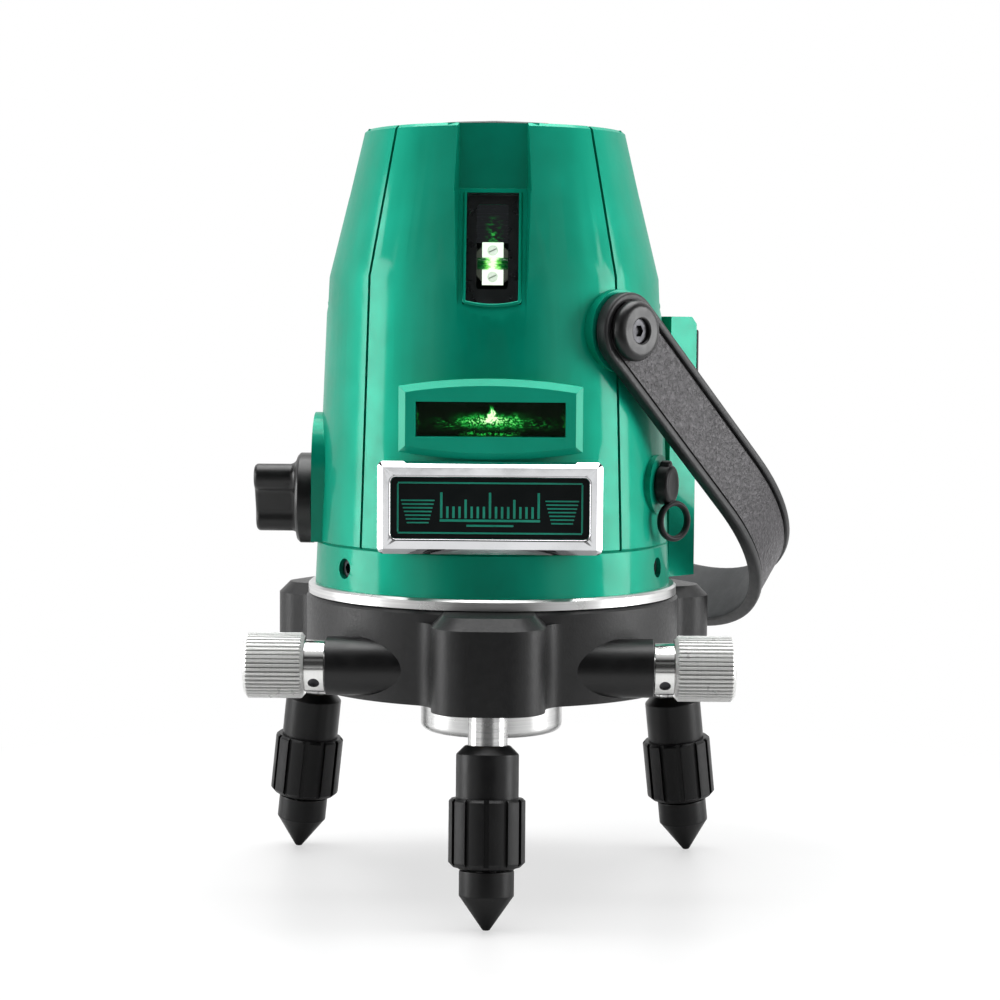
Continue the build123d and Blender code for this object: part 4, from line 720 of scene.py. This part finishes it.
def strap_profile():
    """(inset, depth, material) round half of the strap's section, from outer to inner face."""
    top, field = strap_t, strap_t - strap_field
    groove = field - strap_groove_deep
    groove_in = strap_border + strap_groove
    edge_in = strap_border - strap_slope
    rows = [(inset, field, FIELD) for inset in (*strap_insets, groove_in + strap_soft)]
    rows += [(groove_in, field - strap_soft, GROOVE), (groove_in - strap_slope, groove, GROOVE)]
    rows += [(strap_border + strap_slope, groove, GROOVE), (strap_border, field, GROOVE)]
    rows += [(edge_in, top - strap_soft, EDGE), (edge_in - strap_edge_soft, top, EDGE)]
    arc = quarter_round(strap_edge_round, strap_round_steps)
    rows += [(inset, top - drop, EDGE) for inset, drop in reversed(arc)]
    rows += [(inset, drop, EDGE) for inset, drop in arc]
    return rows + [(inset, 0.0, BACK) for inset in (strap_back_inset, *reversed(strap_insets))]


def zip_cap(bm, ring, count, material):
    """Fills the long slit inside a strap ring with faces straight across it."""
    ends = strap_end_steps - 1
    top = ring[:count]
    low = ring[count + ends:2 * count + ends][::-1]
    for i in range(count - 1):
        bm.faces.new((top[i], top[i + 1], low[i + 1], low[i])).material_index = material
    for side, first, last in ((ring[count:count + ends], top[-1], low[-1]),
                              (ring[2 * count + ends:], low[0], top[0])):
        bm.faces.new([first] + side + [last]).material_index = material


def cut_holes(thing, cutters):
    """Cuts the cutters out of a piece and applies the result to its mesh."""
    for cutter in cutters:
        cut = thing.modifiers.new("hole", "BOOLEAN")
        cut.object = cutter
        cut.solver = "EXACT"
    graph = bpy.context.evaluated_depsgraph_get()
    cut_mesh = bpy.data.meshes.new_from_object(thing.evaluated_get(graph))
    thing.modifiers.clear()
    thing.data = cut_mesh
    for cutter in cutters:
        bpy.data.objects.remove(cutter)


def pivot_cutter(sign):
    """Round cutter along the strap's pivot."""
    bm = bmesh.new()
    angles = turns(strap_hole_steps)
    spokes = [(strap_along * cos(a) + strap_across * sin(a)) * strap_hole_r for a in angles]
    ends = (strap_in - strap_cutter_margin, strap_in + strap_t + strap_cutter_margin)
    loft(bm, [[(strap_axis * sign * u + spoke + UP * pivot_z) * MM for spoke in spokes] for u in ends])
    return in_scene("pivot_cutter", finished_mesh("pivot_cutter", bm))


def build_strap():
    bm = bmesh.new()
    stations = strap_stations()
    profile = strap_profile()
    loops = [strap_ring(stations, inset, depth) for inset, depth, _ in profile]
    rings = loft(bm, loops, capped=False, materials=[material for _, _, material in profile[1:]])
    zip_cap(bm, rings[0], len(stations), FIELD)
    zip_cap(bm, rings[-1], len(stations), BACK)
    # The groove's faces take the black plastic, darker than the raised edge.
    materials = ("strap_grain", "strap_edge", "strap_back", "black")
    strap = piece("strap_leather", bm, "handle", "strap", *materials)
    cut_holes(strap, [pivot_cutter(1), pivot_cutter(-1)])
    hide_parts("handle_strap")


build_strap()

# Charging socket plug
plug_edge, plug_edge_steps = 0.9, 4     # round edge of its cap
plug_stem_chamfer = 0.4
plug_under_chamfer = 0.3
plug_dish = ((2.0, 0.15), (3.2, 0.25))      # inset and depth of the hollow in its face
tab_low, tab_high = 1.4, plug_tab_up - 0.3
tab_corner = 1.1
tab_rows = ((0.4, 0.1), (0.0, 0.5), (0.0, plug_t - 1.3), (0.25, plug_t - 0.85), (0.8, plug_t - 0.6))
loop_section_round = 0.75
loop_steps = 56


def add_plug_cap(bm, place):
    rows = [(plug_stem_r - plug_stem_chamfer, -plug_stem_len)]
    rows += [(plug_stem_r, plug_stem_chamfer - plug_stem_len), (plug_stem_r, 0.0)]
    rows += [(plug_r - plug_under_chamfer, 0.0), (plug_r, plug_under_chamfer)]
    round_edge = quarter_round(plug_edge, plug_edge_steps)
    rows += [(plug_r - inset, plug_t - drop) for inset, drop in round_edge]
    rows += [(plug_r - inset, plug_t - deep) for inset, deep in plug_dish]
    loft(bm, [raised(place, circle(r), z) for r, z in rows])


def add_plug_loop(bm):
    place = facing(plug_azimuth - loop_turn, 0, 0)
    place.translation = facing(plug_azimuth, plug_low + plug_t / 2 + loop_out, loop_z).translation
    middle = (loop_r + loop_hole_r) / 2
    section = rounded_rect(loop_r - loop_hole_r, loop_t, loop_section_round, 4)
    loft(bm, [[place @ Vector(((middle + x) * sin(a), (middle + x) * cos(a), z)) for x, z in section]
              for a in turns(loop_steps)], closed=True)


def build_plug():
    bm = bmesh.new()
    place = facing(plug_azimuth, plug_low, plug_z)
    add_plug_cap(bm, place)
    tab = place @ Matrix.Translation((0, (tab_low + tab_high) / 2, 0))
    round_pad(bm, tab, plug_tab_w, tab_high - tab_low, tab_corner, tab_rows, 6)
    add_plug_loop(bm)
    plug = piece("plug_rubber", bm, "plug", "black_rubber", "rubber")
    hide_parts("jack_plug")


build_plug()

# Dark can on top of the pendulum's hub: painted shade for the dark ground behind the lens clamps
trap_r, trap_groove_r, trap_dish_r = 11.0, 10.4, 8.0
trap_low, trap_first_groove, trap_top = 133.3, 134.2, 148.0
trap_grooves, trap_pitch = 6, 2.2
trap_groove_slope, trap_groove_floor = 0.3, 1.0
trap_chamfer, trap_top_chamfer = 0.4, 0.6


def build_dark_can():
    bm = bmesh.new()
    rows = [(trap_r - trap_chamfer, trap_low), (trap_r, trap_low + trap_chamfer)]
    for i in range(trap_grooves):
        low = trap_first_groove + trap_pitch * i
        inner_low = low + trap_groove_slope
        inner_high = inner_low + trap_groove_floor
        rows += [(trap_r, low), (trap_groove_r, inner_low), (trap_groove_r, inner_high)]
        rows.append((trap_r, inner_high + trap_groove_slope))
    rows += [(trap_r, trap_top - trap_top_chamfer), (trap_r - trap_top_chamfer, trap_top)]
    rows += [(trap_dish_r, trap_top), (trap_dish_r - trap_chamfer, trap_top - trap_top_chamfer)]
    place = Matrix.Scale(MM, 4)
    loft(bm, [raised(place, circle(r), z) for r, z in rows])
    piece("dark_can_painted_light", bm, "pendulum", "black_plastic", "trap")


build_dark_can()

# Printed masks in the backs of the tall panes
mask_w, mask_h = 8.1, 23.4
mask_up = 0.8       # how far the opening lies above the middle of the pane
mask_t = 0.1
mask_gap = 0.1      # how far it stands in front of the pane's back
mask_margin = 0.4
mask_corner, mask_opening_corner = 0.3, 0.8


def on_pane(azimuth, up):
    """Place on a tall pane's face, at a distance up from its foot."""
    foot = facing(azimuth, pane_foot_r, pane_low, pane_lean)
    return foot @ Matrix.Translation((0, pane_foot_up + up, 0))


def build_masks():
    outer = rounded_rect(pane_w - mask_margin, pane_h - mask_margin, mask_corner)
    inner = [(x, y + mask_up) for x, y in rounded_rect(mask_w, mask_h, mask_opening_corner)]
    back = mask_gap - pane_t
    front = back + mask_t
    for side, azimuth in shell_azimuths.items():
        bm = bmesh.new()
        place = on_pane(azimuth, pane_h / 2)
        loops = [raised(place, outer, back), raised(place, outer, front)]
        loops += [raised(place, inner, front), raised(place, inner, back)]
        loft(bm, loops, closed=True)
        piece(f"window_mask_{side}", bm, "head", "black_plastic", "mask")


build_masks()

# Bead round the sides and the foot of each tall pane
rim_half, rim_high = 0.45, 0.55
rim_round = 0.4
rim_corner = 0.7
rim_sag = 0.8       # how far its foot bows down
rim_top_gap = 0.5
rim_steps = 8


def rim_path():
    """Middle of the bead, from the left side's top round the foot to the right side's top."""
    side_x = pane_w / 2 - rim_half
    foot_half = side_x - rim_corner
    top = pane_h - rim_top_gap
    drop = pane_h - rim_corner - 2 * rim_top_gap
    left = [(-side_x, top - drop * i / rim_steps) for i in range(rim_steps)]
    left += [(x - side_x, y) for x, y in quarter_round(rim_corner, rim_steps)]
    shares = [2 * i / rim_steps - 1 for i in range(1, rim_steps)]
    foot = [(foot_half * share, -rim_sag * (1 - share ** 2)) for share in shares]
    return left + foot + [(-x, y) for x, y in reversed(left)]


def build_rims():
    path = rim_path()
    section = rounded_rect(2 * rim_half, 2 * rim_high, rim_round, 4)
    for side, azimuth in shell_azimuths.items():
        bm = bmesh.new()
        place = on_pane(azimuth, rim_half)
        loops = []
        for i, (x, y) in enumerate(path):
            before, after = path[max(i - 1, 0)], path[min(i + 1, len(path) - 1)]
            along = Vector((after[0] - before[0], after[1] - before[1])).normalized()
            loops.append([place @ Vector((x - along.y * a, y + along.x * a, b)) for a, b in section])
        loft(bm, loops)
        piece(f"window_rim_{side}", bm, "head", "green", "green")


build_rims()

# Dark hood behind the level-line window, painted shade for the dark inside, with the scattered beam
# painted as a glow on its back wall
hood_wall, hood_deep = 0.5, 4.0
hood_gap = 0.1      # between the hood and the pane
hood_corner, hood_inner_corner = 0.6, 0.3


def build_hood():
    bm = bmesh.new()
    place = facing(0, 0, horizon_z)
    front, back = horizon_pane_back - hood_gap, horizon_pane_back - hood_deep
    outer = rounded_rect(opening_w + 2 * hood_wall, opening_h + 2 * hood_wall, hood_corner)
    inner = rounded_rect(opening_w, opening_h, hood_inner_corner)
    loops = [raised(place, outer, back), raised(place, outer, front)]
    loops += [raised(place, inner, front), raised(place, inner, back + hood_wall)]
    rings = loft(bm, loops, capped=False)
    bm.faces.new(rings[0][::-1])
    bm.faces.new(rings[-1]).material_index = 1
    piece("window_hood", bm, "head", "black_plastic", "mask", "scatter")


build_hood()

# Plain border, stripes and graduation printed on the badge plate
print_gap = 0.02        # how far a print stands off its face
badge_print_t = 0.05
badge_print_corner, badge_print_soft = 0.1, 0.03
border_w, border_h = plate_w - 3.4, plate_h - 2.6
border_line, border_joint = 0.42, 0.02
stripes, stripe_pitch, stripe_line = 7, 0.95, 0.36
stripe_top, stripe_x = 1.9, 18.4
stripe_w, stripe_taper = 8.6, 0.5
ticks, tick_pitch, tick_line = 17, 1.55, 0.6
tick_foot = -2.6
tick_h, half_tick_h, full_tick_h = 3.0, 4.8, 6.6
scale_bars = ((-3.2, 25.6, 0.6), (-4.5, 12.0, 0.5))     # y, width and height under the ticks


def bar(bm, place, x, y, width, height):
    """Flat printed bar centred at x, y."""
    spot = place @ Matrix.Translation((x, y, print_gap))
    soft = 2 * badge_print_soft
    outline = rounded_rect(width, height, badge_print_corner, 2)
    top = rounded_rect(width - soft, height - soft, badge_print_corner, 2)
    loops = [raised(spot, outline, 0.0), raised(spot, outline, badge_print_t / 2)]
    loft(bm, loops + [raised(spot, top, badge_print_t)])


def build_badge_print():
    bm = bmesh.new()
    place = facing(0, badge_face, badge_z)
    for sign in (-1, 1):
        bar(bm, place, 0, sign * border_h / 2, border_w, border_line)
        bar(bm, place, sign * border_w / 2, 0, border_line, border_h - border_line - border_joint)
    for i in range(stripes):
        for sign in (-1, 1):
            bar(bm, place, sign * stripe_x, stripe_top - i * stripe_pitch, stripe_w - stripe_taper * i,
                stripe_line)
    for i in range(ticks):
        tall = full_tick_h if i % 8 == 0 else half_tick_h if i % 4 == 0 else tick_h
        bar(bm, place, (i - ticks // 2) * tick_pitch, tick_foot + tall / 2, tick_line, tall)
    for y, width, height in scale_bars:
        bar(bm, place, 0, y, width, height)
    piece("badge_lines", bm, "head", "green", "print")


build_badge_print()

# Finger ribs across the battery door's latch
ribs, rib_margin = 5, 2.4
rib_w, rib_h = 1.5 * latch_half, 1.1
rib_corner = 0.5
rib_rows = ((0.0, 0.0), (0.0, 0.15), (0.12, 0.38), (0.35, 0.5))


def build_latch_ribs():
    bm = bmesh.new()
    place = facing(box_azimuth, latch_face, 0)
    for i in range(ribs):
        z = latch_low + rib_margin + (latch_high - latch_low - 2 * rib_margin) * i / (ribs - 1)
        round_pad(bm, place @ Matrix.Translation((0, z, 0)), rib_w, rib_h, rib_corner, rib_rows, 4)
    piece("latch_ribs", bm, "door", "black_plastic", "black")


build_latch_ribs()

# Plain rings printed round the keys on the top panel
key_ring_r, key_ring_line = 5.6, 0.4
key_ring_top = 0.06
key_ring_steps = 64


def build_key_rings():
    bm = bmesh.new()
    inner = circle(key_ring_r - key_ring_line, key_ring_steps)
    outer = circle(key_ring_r, key_ring_steps)
    for x, y in key_centres:
        place = Matrix.Translation((x * MM, y * MM, panel_top * MM)) @ Matrix.Scale(MM, 4)
        loops = [raised(place, inner, print_gap), raised(place, inner, key_ring_top)]
        loops += [raised(place, outer, key_ring_top), raised(place, outer, print_gap)]
        loft(bm, loops, closed=True)
    piece("key_rings", bm, "head", "black_plastic", "key_print")


build_key_rings()

# Studio floor, in metres; a pair is where a change begins and ends
floor_half, floor_front = 6.0, -1.2
floor_dark_y, floor_dark_tone = (-0.4, -0.25), 0.06     # dark toward the front
floor_behind_y = (0.1, 0.3)         # metal and glass see plain white farther back
floor_ahead_y = (-1.0, -0.9)        # and at the front edge, which the badge frame mirrors
floor_mirrored = 0.75               # share of its tone that other glossy rays see
floor_bounce = 0.3                  # share of its tone that lights the object
shadow_reach, shadow_white = (0.1, 0.26), 0.55          # white laid over the floor, less near the object

# Light of the tent by the y of its direction: dark in front, brightest at the sides
tent = ((-0.9, 0.02), (-0.74, 1.15), (-0.55, 0.95), (-0.25, 0.5), (0.15, 0.45), (1.0, 0.45))
tent_side_z = (0.35, 0.6)           # z of the direction where the sides end
tent_top_z, tent_top = (0.7, 0.95), 0.7
tent_low_z, tent_low = (0.02, 0.2), 0.22
tent_behind_y = (0.1, 0.4)          # metal and glass see plain white farther back
card_y, card_z = (-0.985, -0.97), (-0.058, -0.048)      # white card in front for the badge frame

# Lamps: azimuth, elevation, distance, size and power
lamp_target = Vector((0, 0, 0.07))
lamps = {
    "left_box": (-87, 4, 0.95, (0.4, 0.6), 5.5),
    "right_box": (87, 4, 0.95, (0.4, 0.6), 5.5),
    "top_box": (180, 82, 1.0, (1.2, 0.9), 15),
}


def floor_look():
    """Floor that is white to the camera apart from shadows, and dark in front to the object."""
    look = Look("floor")
    y = look.axes()[1]
    seen = look.seen(look.largest(look.rise(y, *floor_behind_y), look.fall(y, *floor_ahead_y)))
    mirrored = look.product(look.add("LightPath").outputs["Is Glossy Ray"], floor_mirrored)
    share = look.largest(seen, mirrored, floor_bounce)
    stain = look.spread(look.noise(3), 0.86, 0.9)
    tone = look.product(look.between(y, *floor_dark_y, floor_dark_tone, 1.0), stain, share)
    colour = look.add("CombineColor", {"Red": tone, "Green": tone, "Blue": tone}).outputs["Color"]
    look.set(Base_Color=colour, Roughness=look.spread(look.noise(20), 0.35, 0.45))
    away = look.add("VectorMath", {0: look.coords}, operation="LENGTH").outputs["Value"]
    white = look.add("Emission", {"Color": (1, 1, 1, 1), "Strength": 1.0}).outputs["Emission"]
    look.mix(look.product(seen, look.between(away, *shadow_reach, shadow_white, 1.0)), white)
    return look.material


def build_floor():
    z = floor_z * MM
    corners = [(-floor_half, floor_front, z), (floor_half, floor_front, z)]
    corners += [(floor_half, floor_half, z), (-floor_half, floor_half, z)]
    mesh = bpy.data.meshes.new("floor")
    mesh.from_pydata(corners, [], [(0, 1, 2, 3)])
    mesh.materials.append(floor_look())
    plane = in_scene("floor", mesh)


def build_world():
    """White to the camera, and behind to metal and glass; a tent that is dark in front to the object."""
    world = bpy.data.worlds.new("studio")
    bpy.context.scene.world = world
    world.use_nodes = True
    sky = Nodes(world.node_tree, "Generated")
    _, y, z = sky.axes()
    stops = [((at + 1) / 2, (level, level, level, 1)) for at, level in tent]
    sides = sky.product(sky.ramp(sky.rise(y, -1.0, 1.0), *stops), sky.fall(z, *tent_side_z))
    top = sky.between(z, *tent_top_z, 0.0, tent_top)
    low = sky.between(z, *tent_low_z, tent_low, 0.0)
    card = sky.product(sky.fall(y, *card_y), sky.fall(z, *card_z))
    seen = sky.seen(sky.rise(y, *tent_behind_y))
    back = world.node_tree.nodes["Background"]
    sky.fill(back.inputs["Strength"], sky.largest(sides, top, low, card, seen))
    sky.fill(back.inputs["Color"], (1, 1, 1, 1))


def softbox(name, azimuth, elevation, distance, size, power):
    lamp = bpy.data.lights.new(name, "AREA")
    lamp.shape = "RECTANGLE"
    lamp.size, lamp.size_y = size
    lamp.energy = power
    box = in_scene(name, lamp)
    lift = radians(elevation)
    toward = out_dir(azimuth) * cos(lift) + UP * sin(lift)
    box.location = lamp_target + toward * distance
    box.rotation_euler = toward.to_track_quat("Z", "Y").to_euler()


def build_camera():
    yaw = radians(camera_azimuth) + radians(camera_yaw)
    pitch, roll = radians(camera_pitch), radians(camera_roll)
    forward = Vector((-sin(yaw), cos(yaw), 0)) * cos(pitch) - UP * sin(pitch)
    level = Vector((cos(yaw), sin(yaw), 0))
    upright = level.cross(forward)
    right = level * cos(roll) + upright * sin(roll)
    up = upright * cos(roll) - level * sin(roll)
    place = Matrix((right, up, -forward)).transposed().to_4x4()
    place.translation = (out_dir(camera_azimuth) * camera_distance + UP * camera_height) * MM
    data = bpy.data.cameras.new("camera")
    data.lens = camera_lens
    data.sensor_width = camera_sensor
    camera = in_scene("camera", data)
    camera.matrix_world = place
    bpy.context.scene.camera = camera


build_floor()
build_world()
for name, values in lamps.items():
    softbox(name, *values)
build_camera()
bpy.context.scene.view_settings.view_transform = "Standard"
